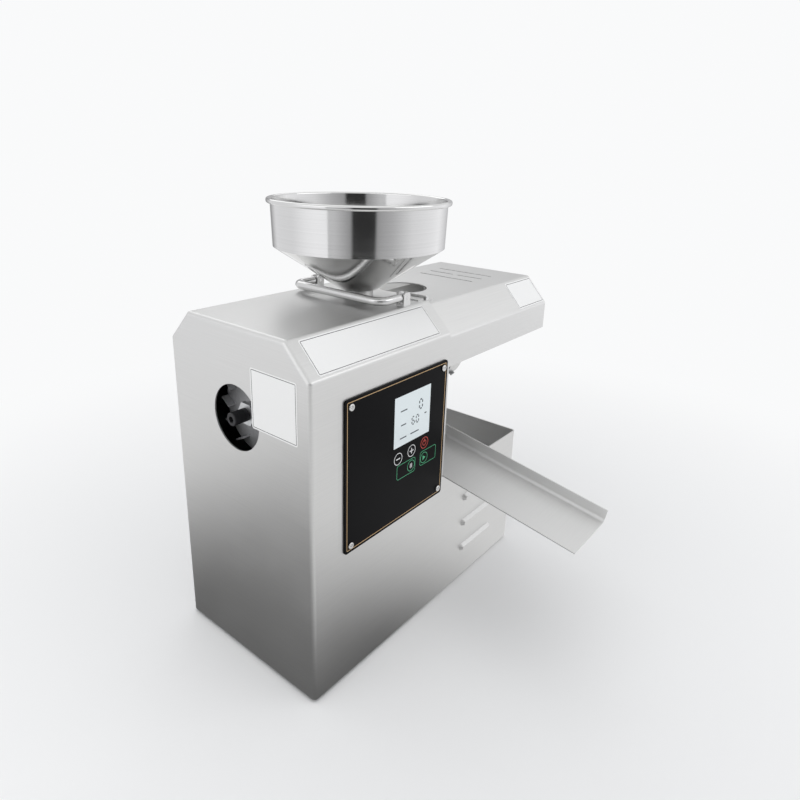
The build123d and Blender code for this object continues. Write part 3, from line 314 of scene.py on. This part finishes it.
# %% [markdown]
# Effects that several finishes share
#
# Brushing, turning marks, finger marks and grain come back on many pieces, so each is a node group with
# its own inputs, built once and placed in every material that needs it. A group puts out only a value.
# The material decides what that value does to its colour, roughness or relief.

# %% Node group helper
def new_group(name, inputs):
    """A group with the given number inputs and one number as its output."""
    group = bpy.data.node_groups.new(name, "ShaderNodeTree")
    for socket, value in inputs.items():
        item = group.interface.new_socket(name=socket, in_out="INPUT", socket_type="NodeSocketFloat")
        item.default_value = value
    group.interface.new_socket(name="Value", in_out="OUTPUT", socket_type="NodeSocketFloat")
    return group, group.nodes.new("NodeGroupInput"), group.nodes.new("NodeGroupOutput")


def feed(group, node, values):
    """Give a node's inputs, in their order, plain numbers or other nodes' results."""
    for slot, value in enumerate(values):
        if isinstance(value, (int, float)):
            node.inputs[slot].default_value = value
        else:
            group.links.new(value, node.inputs[slot])
    return node.outputs[0]


def math_node(group, operation, *values):
    node = group.nodes.new("ShaderNodeMath")
    node.operation = operation
    return feed(group, node, values)


def combine(group, x, y, z):
    return feed(group, group.nodes.new("ShaderNodeCombineXYZ"), (x, y, z))


def noise(group, vector, scale, detail=3.0, rough=0.6):
    node = group.nodes.new("ShaderNodeTexNoise")
    group.links.new(vector, node.inputs["Vector"])
    if isinstance(scale, (int, float)):
        node.inputs["Scale"].default_value = scale
    else:
        group.links.new(scale, node.inputs["Scale"])
    node.inputs["Detail"].default_value = detail
    node.inputs["Roughness"].default_value = rough
    return node.outputs["Fac"]


def spread(group, value, low, high):
    node = group.nodes.new("ShaderNodeMapRange")
    group.links.new(value, node.inputs["Value"])
    node.inputs["From Min"].default_value = low
    node.inputs["From Max"].default_value = high
    return node.outputs["Result"]


print("helpers ready")

# %% [markdown]
# Brushed lines
#
# Stainless sheet is brushed along its length on a belt. On the upright walls the lines lie level, on the
# roofs they run from left to right. The noise is squeezed hard across the lines and hardly along them,
# and the surface's own normal says whether a place is roof or wall.

# %% Brushed lines
brushed_lines, given, result = new_group("brushed lines", {"Along": 14.0, "Across": 1500.0})
coordinate = brushed_lines.nodes.new("ShaderNodeTexCoord")
place = brushed_lines.nodes.new("ShaderNodeSeparateXYZ")
facing = brushed_lines.nodes.new("ShaderNodeSeparateXYZ")
brushed_lines.links.new(coordinate.outputs["Object"], place.inputs[0])
brushed_lines.links.new(coordinate.outputs["Normal"], facing.inputs[0])
upward_share = math_node(brushed_lines, "ABSOLUTE", facing.outputs["Z"])
is_roof = math_node(brushed_lines, "GREATER_THAN", upward_share, 0.6)
round_wall = math_node(brushed_lines, "ADD", place.outputs["X"], place.outputs["Y"])
wall = combine(
    brushed_lines, math_node(brushed_lines, "MULTIPLY", round_wall, given.outputs["Along"]),
    math_node(brushed_lines, "MULTIPLY", place.outputs["Z"], given.outputs["Across"]), 0.0,
)
roof = combine(
    brushed_lines, math_node(brushed_lines, "MULTIPLY", place.outputs["X"], given.outputs["Along"]),
    math_node(brushed_lines, "MULTIPLY", place.outputs["Y"], given.outputs["Across"]), 7.0,
)
pick = brushed_lines.nodes.new("ShaderNodeMix")
pick.data_type = "VECTOR"
brushed_lines.links.new(is_roof, pick.inputs["Factor"])
brushed_lines.links.new(wall, pick.inputs[4])
brushed_lines.links.new(roof, pick.inputs[5])
brushed_lines.links.new(
    spread(brushed_lines, noise(brushed_lines, pick.outputs[1], 1.0), 0.3, 0.7), result.inputs[0]
)
print("brushed lines")

# %% [markdown]
# Turned and spun rings
#
# Pieces from the lathe, and the hopper, which is spun over a form, carry fine rings round their axis.
# The noise reads only the distance from that axis and the place along it, so every line is a ring. The
# hopper's axis is upright, that of the shafts is level, so there are two groups.

# %% Rings
def ring_group(name, along, first, second, centre):
    group, given, result = new_group(name, {"Fine": 1200.0})
    coordinate = group.nodes.new("ShaderNodeTexCoord")
    place = group.nodes.new("ShaderNodeSeparateXYZ")
    group.links.new(coordinate.outputs["Object"], place.inputs[0])
    a = math_node(group, "SUBTRACT", place.outputs[first], centre[0])
    b = math_node(group, "SUBTRACT", place.outputs[second], centre[1])
    a_squared, b_squared = math_node(group, "MULTIPLY", a, a), math_node(group, "MULTIPLY", b, b)
    squared = math_node(group, "ADD", a_squared, b_squared)
    radius = math_node(group, "SQRT", squared)
    vector = combine(
        group, math_node(group, "MULTIPLY", radius, given.outputs["Fine"]),
        math_node(group, "MULTIPLY", place.outputs[along], given.outputs["Fine"]), 0.0,
    )
    group.links.new(spread(group, noise(group, vector, 1.0, 2.0), 0.3, 0.7), result.inputs[0])
    return group


hopper_low, hopper_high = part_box("hopper")
hopper_x = (hopper_low.x + hopper_high.x) / 2
hopper_y = (hopper_low.y + hopper_high.y) / 2
nozzle_low, nozzle_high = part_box("cake_nozzle")
axis_y = (nozzle_low.y + nozzle_high.y) / 2
axis_z = (nozzle_low.z + nozzle_high.z) / 2
spun_rings = ring_group("spun rings", "Z", "X", "Y", (hopper_x, hopper_y))
turned_rings = ring_group("turned rings", "X", "Y", "Z", (axis_y, axis_z))
print("hopper axis", round(hopper_x, 4), round(hopper_y, 4))
print("press axis", round(axis_y, 4), round(axis_z, 4))

# %% [markdown]
# Marks and grain
#
# Steel that has been handled isn't evenly bright: there are wide faint smudges. Moulded and painted
# surfaces have a fine orange-peel grain instead. Both are plain noise at two very different scales.

# %% Marks and grain
hand_marks, given, result = new_group("hand marks", {"Size": 22.0})
coordinate = hand_marks.nodes.new("ShaderNodeTexCoord")
smudges = noise(hand_marks, coordinate.outputs["Object"], given.outputs["Size"], 4.0, 0.55)
hand_marks.links.new(spread(hand_marks, smudges, 0.45, 0.75), result.inputs[0])
fine_grain, given, result = new_group("fine grain", {"Size": 1400.0})
coordinate = fine_grain.nodes.new("ShaderNodeTexCoord")
fine_grain.links.new(
    noise(fine_grain, coordinate.outputs["Object"], given.outputs["Size"], 2.0, 0.5), result.inputs[0]
)
print("groups:", [g.name for g in bpy.data.node_groups])

# %% [markdown]
# One way to build a finish
#
# Every finish is a Principled shader. Up to two effects move its colour and roughness between two ends,
# and one gives it relief. What is the same all over is set on the shader itself.

# %% Finish builder
def value_range(tree, links, value, low, high):
    node = tree.new("ShaderNodeMapRange")
    links.new(value, node.inputs["Value"])
    node.inputs["To Min"].default_value = low
    node.inputs["To Max"].default_value = high
    return node.outputs["Result"]


def effect(tree, group, **settings):
    node = tree.new("ShaderNodeGroup")
    node.node_tree = group
    for name, value in settings.items():
        node.inputs[name].default_value = value
    return node.outputs[0]


def finish_of(
    name, dark, light, roughness, metallic=0.0, pattern=None, marks=None, relief=None, **plain
):
    """dark and light are the colour's two ends, roughness its two ends; pattern, marks and relief are
    (group, settings) pairs, and relief also has its depth in millimetres."""
    material = bpy.data.materials.new(name)
    tree, links = new_tree(material)
    out = tree.new("ShaderNodeOutputMaterial")
    shader = tree.new("ShaderNodeBsdfPrincipled")
    links.new(shader.outputs[0], out.inputs["Surface"])
    shader.inputs["Metallic"].default_value = metallic
    for socket, value in plain.items():
        shader.inputs[socket.replace("_", " ")].default_value = value
    pattern = pattern or (fine_grain, {})
    lines = effect(tree, pattern[0], **pattern[1])
    colour = tree.new("ShaderNodeMix")
    colour.data_type = "RGBA"
    colour.inputs[6].default_value = (*dark, 1)
    colour.inputs[7].default_value = (*light, 1)
    links.new(lines, colour.inputs["Factor"])
    links.new(colour.outputs[2], shader.inputs["Base Color"])
    rough = value_range(tree, links, lines, roughness[0], roughness[1])
    if marks:
        smudge = effect(tree, marks[0], **marks[1])
        add = tree.new("ShaderNodeMath")
        add.operation = "MULTIPLY_ADD"
        links.new(smudge, add.inputs[0])
        add.inputs[1].default_value = marks[2]
        links.new(rough, add.inputs[2])
        rough = add.outputs[0]
    links.new(rough, shader.inputs["Roughness"])
    if relief:
        bump = tree.new("ShaderNodeBump")
        bump.inputs["Distance"].default_value = relief[2] * MM
        bump.inputs["Strength"].default_value = 0.6
        links.new(effect(tree, relief[0], **relief[1]), bump.inputs["Height"])
        links.new(bump.outputs[0], shader.inputs["Normal"])
    return material


def film_of(name, colour, roughness, grain=0.02):
    """A thin printed or moulded colour that hardly varies."""
    darker = tuple(c * 0.94 for c in colour)
    return finish_of(
        name, darker, colour, (roughness, roughness + 0.06), relief=(fine_grain, {"Size": 900.0}, grain)
    )


print("finish builder ready")

# %% [markdown]
# The finishes of this machine
#
# The housing is satin sheet with level brushing, the hopper is spun and then polished, and the moving
# pieces are turned steel. The panel is black gloss film on a plate. Colours are what the material is,
# not what the photograph's light made of it.

# %% Metals
satin_steel = finish_of(
    "satin_steel", (0.63, 0.63, 0.625), (0.67, 0.67, 0.665), (0.37, 0.42), 1.0,
    (brushed_lines, {}), (hand_marks, {}, 0.03), (brushed_lines, {}, 0.004),
)
# Paler than satin steel: partly painted light, which lifts the shaded deck inside the low box.
dull_steel = finish_of(
    "dull_steel", (0.68, 0.68, 0.675), (0.72, 0.72, 0.715), (0.54, 0.60), 1.0,
    (brushed_lines, {}), (hand_marks, {}, 0.03), (brushed_lines, {}, 0.003),
)
polished_steel = finish_of(
    "polished_steel", (0.65, 0.65, 0.645), (0.69, 0.69, 0.685), (0.08, 0.11), 1.0,
    (spun_rings, {}), (hand_marks, {"Size": 30.0}, 0.04), (spun_rings, {}, 0.003),
)
turned_steel = finish_of(
    "turned_steel", (0.46, 0.46, 0.46), (0.60, 0.60, 0.59), (0.24, 0.36), 1.0,
    (turned_rings, {}), (hand_marks, {"Size": 60.0}, 0.1), (turned_rings, {}, 0.01),
)
# A darker copy of turned steel, painted shade for the barrel under the hood.
barrel_shade_steel = finish_of(
    "barrel_shade_steel", (0.27, 0.27, 0.275), (0.37, 0.37, 0.37), (0.28, 0.40), 1.0,
    (turned_rings, {}), (hand_marks, {"Size": 60.0}, 0.1), (turned_rings, {}, 0.01),
)
hardened_steel = finish_of(
    "hardened_steel", (0.34, 0.345, 0.35), (0.46, 0.46, 0.465), (0.3, 0.42), 1.0,
    (turned_rings, {"Fine": 700.0}), (hand_marks, {"Size": 90.0}, 0.12), (fine_grain, {}, 0.01),
)
cast_alloy = finish_of(
    "cast_alloy", (0.40, 0.40, 0.41), (0.50, 0.50, 0.51), (0.45, 0.6), 1.0,
    (fine_grain, {"Size": 600.0}), (hand_marks, {}, 0.08), (fine_grain, {"Size": 700.0}, 0.08),
)
fan_alloy = finish_of(
    "fan_alloy", (0.44, 0.44, 0.45), (0.56, 0.56, 0.57), (0.34, 0.44), 0.35,
    (fine_grain, {"Size": 500.0}), (hand_marks, {"Size": 60.0}, 0.08),
    (fine_grain, {"Size": 700.0}, 0.03),
)
blackened_steel = finish_of(
    "blackened_steel", (0.018, 0.018, 0.02), (0.035, 0.035, 0.038), (0.34, 0.46), 0.6,
    (turned_rings, {"Fine": 900.0}), (hand_marks, {"Size": 80.0}, 0.1), (fine_grain, {}, 0.01),
)
zinc_steel = finish_of(
    "zinc_steel", (0.52, 0.53, 0.54), (0.66, 0.67, 0.68), (0.3, 0.42), 1.0,
    (fine_grain, {"Size": 260.0}), (hand_marks, {"Size": 70.0}, 0.1),
    (fine_grain, {"Size": 800.0}, 0.01),
)
screw_steel = finish_of(
    "screw_steel", (0.58, 0.58, 0.58), (0.68, 0.68, 0.675), (0.10, 0.16), 1.0,
    (fine_grain, {"Size": 900.0}), (hand_marks, {"Size": 120.0}, 0.1),
)
terminal_brass = finish_of(
    "terminal_brass", (0.62, 0.44, 0.20), (0.74, 0.56, 0.28), (0.25, 0.38), 1.0,
    (fine_grain, {"Size": 700.0}), (hand_marks, {"Size": 90.0}, 0.1),
)
print("metals made")

# %% Paints, plastics and rubber
motor_paint = finish_of(
    "motor_paint", (0.10, 0.105, 0.11), (0.13, 0.135, 0.14), (0.42, 0.52),
    pattern=(fine_grain, {"Size": 500.0}), relief=(fine_grain, {"Size": 500.0}, 0.06),
)
gloss_black = finish_of(
    "gloss_black", (0.002, 0.002, 0.0025), (0.004, 0.004, 0.005), (0.34, 0.40),
    marks=(hand_marks, {"Size": 26.0}, 0.06), relief=(fine_grain, {"Size": 500.0}, 0.003),
    Specular_IOR_Level=0.05,
)
board_green = finish_of(
    "board_green", (0.01, 0.10, 0.045), (0.016, 0.14, 0.06), (0.35, 0.45),
    relief=(fine_grain, {"Size": 900.0}, 0.02),
)
foot_rubber = finish_of(
    "foot_rubber", (0.012, 0.012, 0.012), (0.022, 0.022, 0.022), (0.7, 0.82),
    relief=(fine_grain, {"Size": 700.0}, 0.06),
)
switch_plastic = finish_of(
    "switch_plastic", (0.012, 0.012, 0.013), (0.02, 0.02, 0.021), (0.38, 0.48),
    relief=(fine_grain, {"Size": 1100.0}, 0.03),
)
screen_glass = finish_of(
    "screen_glass", (0.62, 0.68, 0.70), (0.70, 0.76, 0.78), (0.12, 0.16),
    marks=(hand_marks, {"Size": 40.0}, 0.05),
    Emission_Color=(0.75, 0.83, 0.86, 1), Emission_Strength=0.12,
)
label_film = film_of("label_film", (0.84, 0.84, 0.835), 0.45)
print_dark = film_of("print_dark", (0.03, 0.03, 0.035), 0.45)
print_gold = film_of("print_gold", (0.55, 0.36, 0.17), 0.4)
print_white = film_of("print_white", (0.78, 0.79, 0.80), 0.4)
print_green = film_of("print_green", (0.06, 0.42, 0.20), 0.4)
print_red = film_of("print_red", (0.55, 0.05, 0.03), 0.4)
segment_ink = film_of("segment_ink", (0.03, 0.045, 0.06), 0.4)
print(len(bpy.data.materials), "materials")

# %% [markdown]
# Dress the construction model's pieces
#
# Their shapes stay as they are. Each piece comes in with one plain material, named after the slot that
# the record gives it, and each slot has its finish above, so the name says what to put there.

# %% Finishes on the nodes
slot_finish = {
    "stainless": satin_steel, "polished": polished_steel, "machined": turned_steel,
    "gear_steel": hardened_steel, "casting": cast_alloy, "motor_grey": motor_paint,
    "black_oxide": blackened_steel, "zinc_plate": zinc_steel, "panel_black": gloss_black,
    "screen": screen_glass, "board_green": board_green, "rubber_black": foot_rubber,
    "brass": terminal_brass, "switch_black": switch_plastic,
}
for name, node in nodes.items():
    slot = node.material_slots[0].material.name
    node.material_slots[0].material = slot_finish[slot]
print("dressed", len(nodes), "nodes")

# %% [markdown]
# From a bmesh to a piece
#
# Every new piece is shaped as a bmesh and then handed over the same way: doubles merged, normals turned
# outwards, one finish, a smooth surface with sharp corners kept, and the body that it rides on.

# %% Piece helper
def piece(form, name, finishes, body, sharp=35.0):
    bmesh.ops.remove_doubles(form, verts=form.verts, dist=1e-6)
    bmesh.ops.recalc_face_normals(form, faces=form.faces)
    mesh = bpy.data.meshes.new(name)
    form.to_mesh(mesh)
    form.free()
    for face in mesh.polygons:
        face.use_smooth = True
    mesh.set_sharp_from_angle(angle=math.radians(sharp))
    for finish in finishes if isinstance(finishes, tuple) else (finishes,):
        mesh.materials.append(finish)
    made = bpy.data.objects.new(name, mesh)
    bpy.context.scene.collection.objects.link(made)
    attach(made, body)
    print(name, len(mesh.polygons), "faces on", body)
    return made


def outline_loop(form, points):
    """A few corner points joined in a ring."""
    corners = [form.verts.new(p) for p in points]
    for a, b in zip(corners, corners[1:] + corners[:1]):
        form.edges.new((a, b))
    return corners


def round_corners(form, corners, radius, segments=6):
    bmesh.ops.bevel(
        form, geom=corners, offset=radius, offset_type="OFFSET", segments=segments, profile=0.5,
        affect="VERTICES", material=-1,
    )


print("piece helper ready")

# %% [markdown]
# Hopper
#
# The hopper is spun from one disc of sheet: a short tube, a flat shelf that rests on the feed tube, a
# wide cone, a low wall and a rim that is rolled outwards. One half of its section is drawn as a ring of
# corners, the rim's corners are rounded, and a full spin about the axis makes the bowl with its real
# wall.

# %% Hopper
top, base = hopper_high.z, hopper_low.z
seam_z, shelf_z = top - 40.5 * MM, top - 80.4 * MM
sheet, rim_height, rim_rounding = 0.9 * MM, 4.2 * MM, 1.6 * MM
tube_inside, tube_outside, shelf_edge = 10.7 * MM, 11.6 * MM, 18.0 * MM
bowl_foot, bowl_top, rim_edge = 76.1 * MM, 77.4 * MM, 81.8 * MM
section = [
    (bowl_top, top), (bowl_foot, seam_z), (shelf_edge, shelf_z + sheet), (tube_inside, shelf_z + sheet),
    (tube_inside, base), (tube_outside, base), (tube_outside, shelf_z), (shelf_edge, shelf_z),
    (bowl_foot + sheet, seam_z - sheet), (bowl_top + sheet, top - rim_height),
    (rim_edge, top - rim_height), (rim_edge, top),
]
hopper_form = bmesh.new()
ring = outline_loop(hopper_form, [(hopper_x + r, hopper_y, z) for r, z in section])
round_corners(hopper_form, [ring[0], ring[10], ring[11]], rim_rounding, 5)
bmesh.ops.spin(
    hopper_form, geom=hopper_form.verts[:] + hopper_form.edges[:], cent=(hopper_x, hopper_y, 0),
    axis=(0, 0, 1), angle=math.tau, steps=144, use_merge=True, use_duplicate=False,
)
hopper = piece(hopper_form, "hopper_spun", polished_steel, "hopper", 28.0)
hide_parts("hopper")

# %% [markdown]
# Pieces that differ from their slot
#
# The handle's rod, its pins and the hinge pins share the hopper's slot, but they are drawn rod, not spun
# sheet, so they get the finish of bright screws. The oil chute and the deck are rolled sheet that was
# never brushed, and look duller than the housing; their paler grey is partly painted light, which lifts
# the shaded deck inside the low box. The fan is pale die-cast alloy, which catches the light that falls
# in through its round hole. The barrel is a darker grey than turned steel, which is painted shade for
# its place under the hood.

# %% Bright rods, chute, deck, fan and barrel
# The paler grey of the chute and the deck is partly painted light, which lifts the shaded deck inside
# the low box.
nodes["oil_chute"].material_slots[0].material = dull_steel
nodes["low_box_deck"].material_slots[0].material = dull_steel
nodes["cooling_fan"].material_slots[0].material = fan_alloy
# The barrel's darker grey is painted shade for its place under the hood.
nodes["barrel"].material_slots[0].material = barrel_shade_steel
for name in ("carry_handle", "handle_pins", "hood_hinge_pins"):
    nodes[name].material_slots[0].material = screw_steel
for name in ("heater_terminals", "temperature_probe"):
    nodes[name].material_slots[0].material = zinc_steel
print("rods, chute, deck, fan and barrel dressed")

# %% [markdown]
# Screw heads
#
# A pan head with a cross recess starts as a small grid. The cross is five of its cells pushed in, the
# outer ring of points is moved onto a circle, and subdivision rounds the rest. One head is made and
# then copied to the four corners of the panel.

# %% Cross-head screws
screws_low, screws_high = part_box("panel_screws")
head, recess_depth = 3.1 * MM, 0.9 * MM
crown_share, cross_share = 0.82, 0.9
screw_form = bmesh.new()
bmesh.ops.create_grid(screw_form, x_segments=5, y_segments=5, size=1.0)
stations = {-1.0: -1.0, -0.6: -0.52, -0.2: -0.17, 0.2: 0.17, 0.6: 0.52, 1.0: 1.0}
for vert in screw_form.verts:
    x, y = (stations[round(c, 1)] for c in vert.co.xy)
    moved = Vector((x, y, 0))
    on_edge = max(abs(x), abs(y)) > 0.9
    vert.co = moved.normalized() * head * crown_share if on_edge else moved * head * cross_share
cross = []
for face in screw_form.faces:
    near, far = sorted(abs(c) / head for c in face.calc_center_median().xy)
    if near < 0.1 and far < 0.5:
        cross.append(face)
rim_edges = [edge for edge in screw_form.edges if edge.is_boundary]
sunk = bmesh.ops.extrude_face_region(screw_form, geom=cross)["geom"]
bmesh.ops.delete(screw_form, geom=cross, context="FACES")
bmesh.ops.translate(screw_form, vec=(0, 0, -recess_depth), verts=points_of(sunk))
for grow, drop in ((1.0 / crown_share, -0.5 * MM), (1.0, -1.05 * MM)):
    side = bmesh.ops.extrude_edge_only(screw_form, edges=rim_edges)["geom"]
    lowered = points_of(side)
    bmesh.ops.scale(screw_form, vec=(grow, grow, 1), verts=lowered)
    bmesh.ops.translate(screw_form, vec=(0, 0, drop), verts=lowered)
    rim_edges = [item for item in side if isinstance(item, bmesh.types.BMEdge)
                 and all(vert in lowered for vert in item.verts)]
bmesh.ops.contextual_create(screw_form, geom=rim_edges)
print("screw head", len(screw_form.faces), "faces")

# %% Place the four screws
FACE_FRONT = Matrix.Rotation(math.radians(90), 3, "X")
first_corner = (screws_low.x + head, screws_low.y, screws_low.z + head)
bmesh.ops.rotate(screw_form, cent=(0, 0, 0), matrix=FACE_FRONT, verts=screw_form.verts)
bmesh.ops.translate(screw_form, vec=first_corner, verts=screw_form.verts)
across = screws_high.x - screws_low.x - 2 * head
corner_screw = screw_form.verts[:] + screw_form.edges[:] + screw_form.faces[:]
for dx, dz in ((across, 0), (0, across), (across, across)):
    copied = bmesh.ops.duplicate(screw_form, geom=corner_screw)["geom"]
    bmesh.ops.translate(screw_form, vec=(dx, 0, dz), verts=points_of(copied))
panel_screws = piece(screw_form, "panel_screw_heads", screw_steel, "housing", 60.0)
rounder = panel_screws.modifiers.new("rounder", "SUBSURF")
rounder.levels = rounder.render_levels = 2
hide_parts("panel_screws")

# %% [markdown]
# Prints on the panel
#
# The panel's prints are thin films of ink. Each colour is one piece, made of bars, rings and outlines.
# Each of them starts as a flat face about the origin, is moved to its place on the front, and is
# extruded by a twentieth of a millimetre, so it is real geometry and has an edge that catches light.

# %% Ink helpers
INK_DEPTH = 0.05 * MM
# A film's back lies this far in or off the sheet, so that no two faces share a plane.
HAIR = 0.01 * MM
panel_low, panel_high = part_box("control_panel")


def flat_box(form, width, height, corner, segments):
    """A flat upright rectangle about the origin, with rounded corners; its points are given back."""
    before = set(form.verts)
    corners = outline_loop(form, [(sx * width / 2 * MM, 0, sz * height / 2 * MM)
                                  for sx, sz in ((-1, -1), (1, -1), (1, 1), (-1, 1))])
    form.faces.new(corners)
    if corner:
        round_corners(form, corners, corner * MM, segments)
    return [vert for vert in form.verts if vert not in before]


def hollow(form, faces, line):
    """Leave only a line of a flat face, along its edge."""
    bmesh.ops.inset_region(
        form, faces=faces, thickness=line * MM, depth=0, use_boundary=True, use_even_offset=True
    )
    bmesh.ops.delete(form, geom=faces, context="FACES")


def print_flat(form, fresh, x, z, y=None):
    """Move flat faces to a front and give them the ink's thickness. x and z are millimetres from the
    panel's lower left corner. y is where the front is, and None stands for the panel's own."""
    place = (panel_low.x + x * MM, (panel_low.y if y is None else y) + HAIR, panel_low.z + z * MM)
    bmesh.ops.translate(form, vec=place, verts=fresh)
    moved = set(fresh)
    faces = [face for face in form.faces if all(v in moved for v in face.verts)]
    thicken(form, faces, (0, -INK_DEPTH, 0))


def stroke(form, x, z, width, height, corner=0.3, y=None):
    """A printed bar."""
    print_flat(form, flat_box(form, width, height, corner, 3), x, z, y)


def frame_line(form, x, z, width, height, line, corner, y=None):
    """A printed outline of a rounded box."""
    before = set(form.verts)
    drawn = set(flat_box(form, width, height, corner, 6))
    hollow(form, [face for face in form.faces if all(v in drawn for v in face.verts)], line)
    print_flat(form, [vert for vert in form.verts if vert not in before], x, z, y)


def hoop(form, x, z, radius, line, y=None):
    """A printed ring."""
    before = set(form.verts)
    disc = bmesh.ops.create_circle(form, cap_ends=True, segments=48, radius=radius * MM)["verts"]
    hollow(form, disc[0].link_faces[:], line)
    fresh = [vert for vert in form.verts if vert not in before]
    bmesh.ops.rotate(form, cent=(0, 0, 0), matrix=FACE_FRONT, verts=fresh)
    print_flat(form, fresh, x, z, y)


print("ink helpers ready, panel", round((panel_high.x - panel_low.x) / MM, 2), "mm wide")

# %% Border
BORDER_MARGIN = 2.2
panel_size = (panel_high.x - panel_low.x) / MM
border_size = panel_size - 2 * BORDER_MARGIN
border = bmesh.new()
frame_line(border, panel_size / 2, panel_size / 2, border_size, border_size, line=0.6, corner=1.2)
piece(border, "panel_border", print_gold, "housing")

# %% [markdown]
# Keys
#
# The touch keys are rings with a plain sign in each: less, more, pause, play and the power key. Two
# rounded boxes stand round the places beside the lower keys.

# %% White keys
less, more, pause = (66.0, 61.0), (84.7, 62.0), (84.6, 47.6)
play, power = (103.6, 48.2), (103.4, 63.0)
KEY_RADIUS, LOWER_KEY_RADIUS = 5.6, 5.3
SIGN_LENGTH, SIGN_LINE = 5.4, 1.0
white = bmesh.new()
for x, z in (less, more):
    hoop(white, x, z, KEY_RADIUS, 0.6)
    stroke(white, x, z, SIGN_LENGTH, SIGN_LINE)
stroke(white, *more, SIGN_LINE, SIGN_LENGTH)
for offset in (-1.0, 1.0):
    stroke(white, pause[0] + offset, pause[1], 0.8, 4.4)
piece(white, "panel_keys", print_white, "housing")

# %% Green keys
green = bmesh.new()
for x, z in (pause, play):
    hoop(green, x, z, LOWER_KEY_RADIUS, 0.5)
for x, z, width in ((77.6, 47.4, 26.0), (109.6, 48.4, 24.0)):
    frame_line(green, x, z, width, 14.0, line=0.45, corner=2.5)
triangle = outline_loop(green, [(-1.8 * MM, 0, -2.4 * MM), (2.4 * MM, 0, 0), (-1.8 * MM, 0, 2.4 * MM)])
green.faces.new(triangle)
print_flat(green, triangle, *play)
piece(green, "panel_green_keys", print_green, "housing")

# %% Power key
red = bmesh.new()
for radius in (KEY_RADIUS, 2.7):
    hoop(red, *power, radius, 0.6)
stroke(red, power[0], power[1] + 2.4, 0.8, 3.2)
piece(red, "panel_power_key", print_red, "housing")

# %% [markdown]
# Display digits
#
# Rows of seven-segment digits, plain numbers, on the pale window, with a small mark beside each row.

# %% Digits
window_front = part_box("display_window")[0].y
# Each of the seven bars: its side, its level, and whether it stands.
bars = {"a": (0, 1, False), "b": (1, 0.5, True), "c": (1, -0.5, True), "d": (0, -1, False),
        "e": (-1, -0.5, True), "f": (-1, 0.5, True), "g": (0, 0, False)}
lit_bars = {"0": "abcdef", "6": "afgedc"}
digits = bmesh.new()


def digit(form, figure, x, z, height):
    wide, thick = height * 0.5, height * 0.16
    gap = thick * 1.3
    for name in lit_bars[figure]:
        side, level, standing = bars[name]
        size = (thick, height / 2 - gap) if standing else (wide - gap, thick)
        stroke(form, x + side * wide / 2, z + level * height / 2, *size, corner=0.0, y=window_front)


digit(digits, "0", 95.8, 103.0, 8.5)
digit(digits, "6", 85.4, 90.6, 7.0)
digit(digits, "0", 91.4, 90.6, 7.0)
dashes = (
    (72.0, 104.0, 9.0), (72.0, 91.0, 7.0), (103.0, 92.5, 3.0), (72.0, 79.0, 9.0), (88.0, 79.0, 12.0),
)
for x, z, wide in dashes:
    stroke(digits, x, z, wide, 1.1, y=window_front)
piece(digits, "display_digits", segment_ink, "housing")

# %% [markdown]
# Labels
#
# The labels are plain white film with a thin dark border. Each is a flat face that is inset twice, so
# that the second ring can be printed dark, then thickened and turned onto the sheet that it sticks to.

# %% Label helper
LABEL_CORNER, LABEL_MARGIN, LABEL_BORDER, LABEL_THICK = 2.0, 1.2, 0.5, 0.12


def label(name, body, centre, normal, upward, width, height):
    normal, upward = Vector(normal).normalized(), Vector(upward).normalized()
    form = bmesh.new()
    corners = outline_loop(form, [(a * width / 2 * MM, b * height / 2 * MM, 0)
                                  for a, b in ((-1, -1), (1, -1), (1, 1), (-1, 1))])
    form.faces.new(corners)
    round_corners(form, corners, LABEL_CORNER * MM, 5)
    for inset, printed in ((LABEL_MARGIN, 0), (LABEL_BORDER, 1)):
        field = max(form.faces, key=lambda face: len(face.verts))
        band = bmesh.ops.inset_region(
            form, faces=[field], thickness=inset * MM, depth=0, use_boundary=True, use_even_offset=True,
        )["faces"]
        for face in band:
            face.material_index = printed
    thicken(form, form.faces[:], (0, 0, LABEL_THICK * MM))
    turn = Matrix((upward.cross(normal), upward, normal)).transposed()
    bmesh.ops.rotate(form, cent=(0, 0, 0), matrix=turn, verts=form.verts)
    bmesh.ops.translate(form, vec=Vector(centre) + normal * HAIR, verts=form.verts)
    return piece(form, name, (label_film, print_dark), body)


print("label helper ready")

# %% Labels
housing_low, housing_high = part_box("main_housing")
hood_low, hood_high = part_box("hood")
left_x, front_y, back_y = housing_low.x, panel_high.y, housing_high.y
chamfer = 26.0 * MM
hood_run, hood_drop = 24.0 * MM, 27.0 * MM
on_left_wall = (left_x, front_y + 39.2 * MM, 255.8 * MM)
on_roof = (left_x + 85.8 * MM, front_y + chamfer / 2, housing_high.z - chamfer / 2)
on_hood = (left_x + 333.0 * MM, hood_low.y + hood_run / 2, hood_high.z - hood_drop / 2)
label("left_label", "housing", on_left_wall, (-1, 0, 0), (0, 0, 1), 51.6, 50.1)
label("roof_label", "housing", on_roof, (0, -1, 1), (0, 1, 1), 149.0, 31.4)
label("hood_label", "hood", on_hood, (0, -hood_drop, hood_run), (0, hood_run, hood_drop), 55.0, 31.4)

# %% [markdown]
# The back
#
# The photograph doesn't show the back, so nothing is added there but the two plain signs that every
# mains switch has, a line for on and a ring for off.

# %% Switch signs
frame_low, frame_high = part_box("switch_frame")
sign_x = ((frame_low.x + frame_high.x) / 2 - panel_low.x) / MM
above = (frame_high.z - panel_low.z) / MM + 4
below = (frame_low.z - panel_low.z) / MM - 4
sign_y = back_y + 0.04 * MM
signs = bmesh.new()
stroke(signs, sign_x, above, 0.7, 3.6, corner=0.2, y=sign_y)
hoop(signs, sign_x, below, 1.8, 0.6, y=sign_y)
piece(signs, "switch_signs", print_dark, "housing")
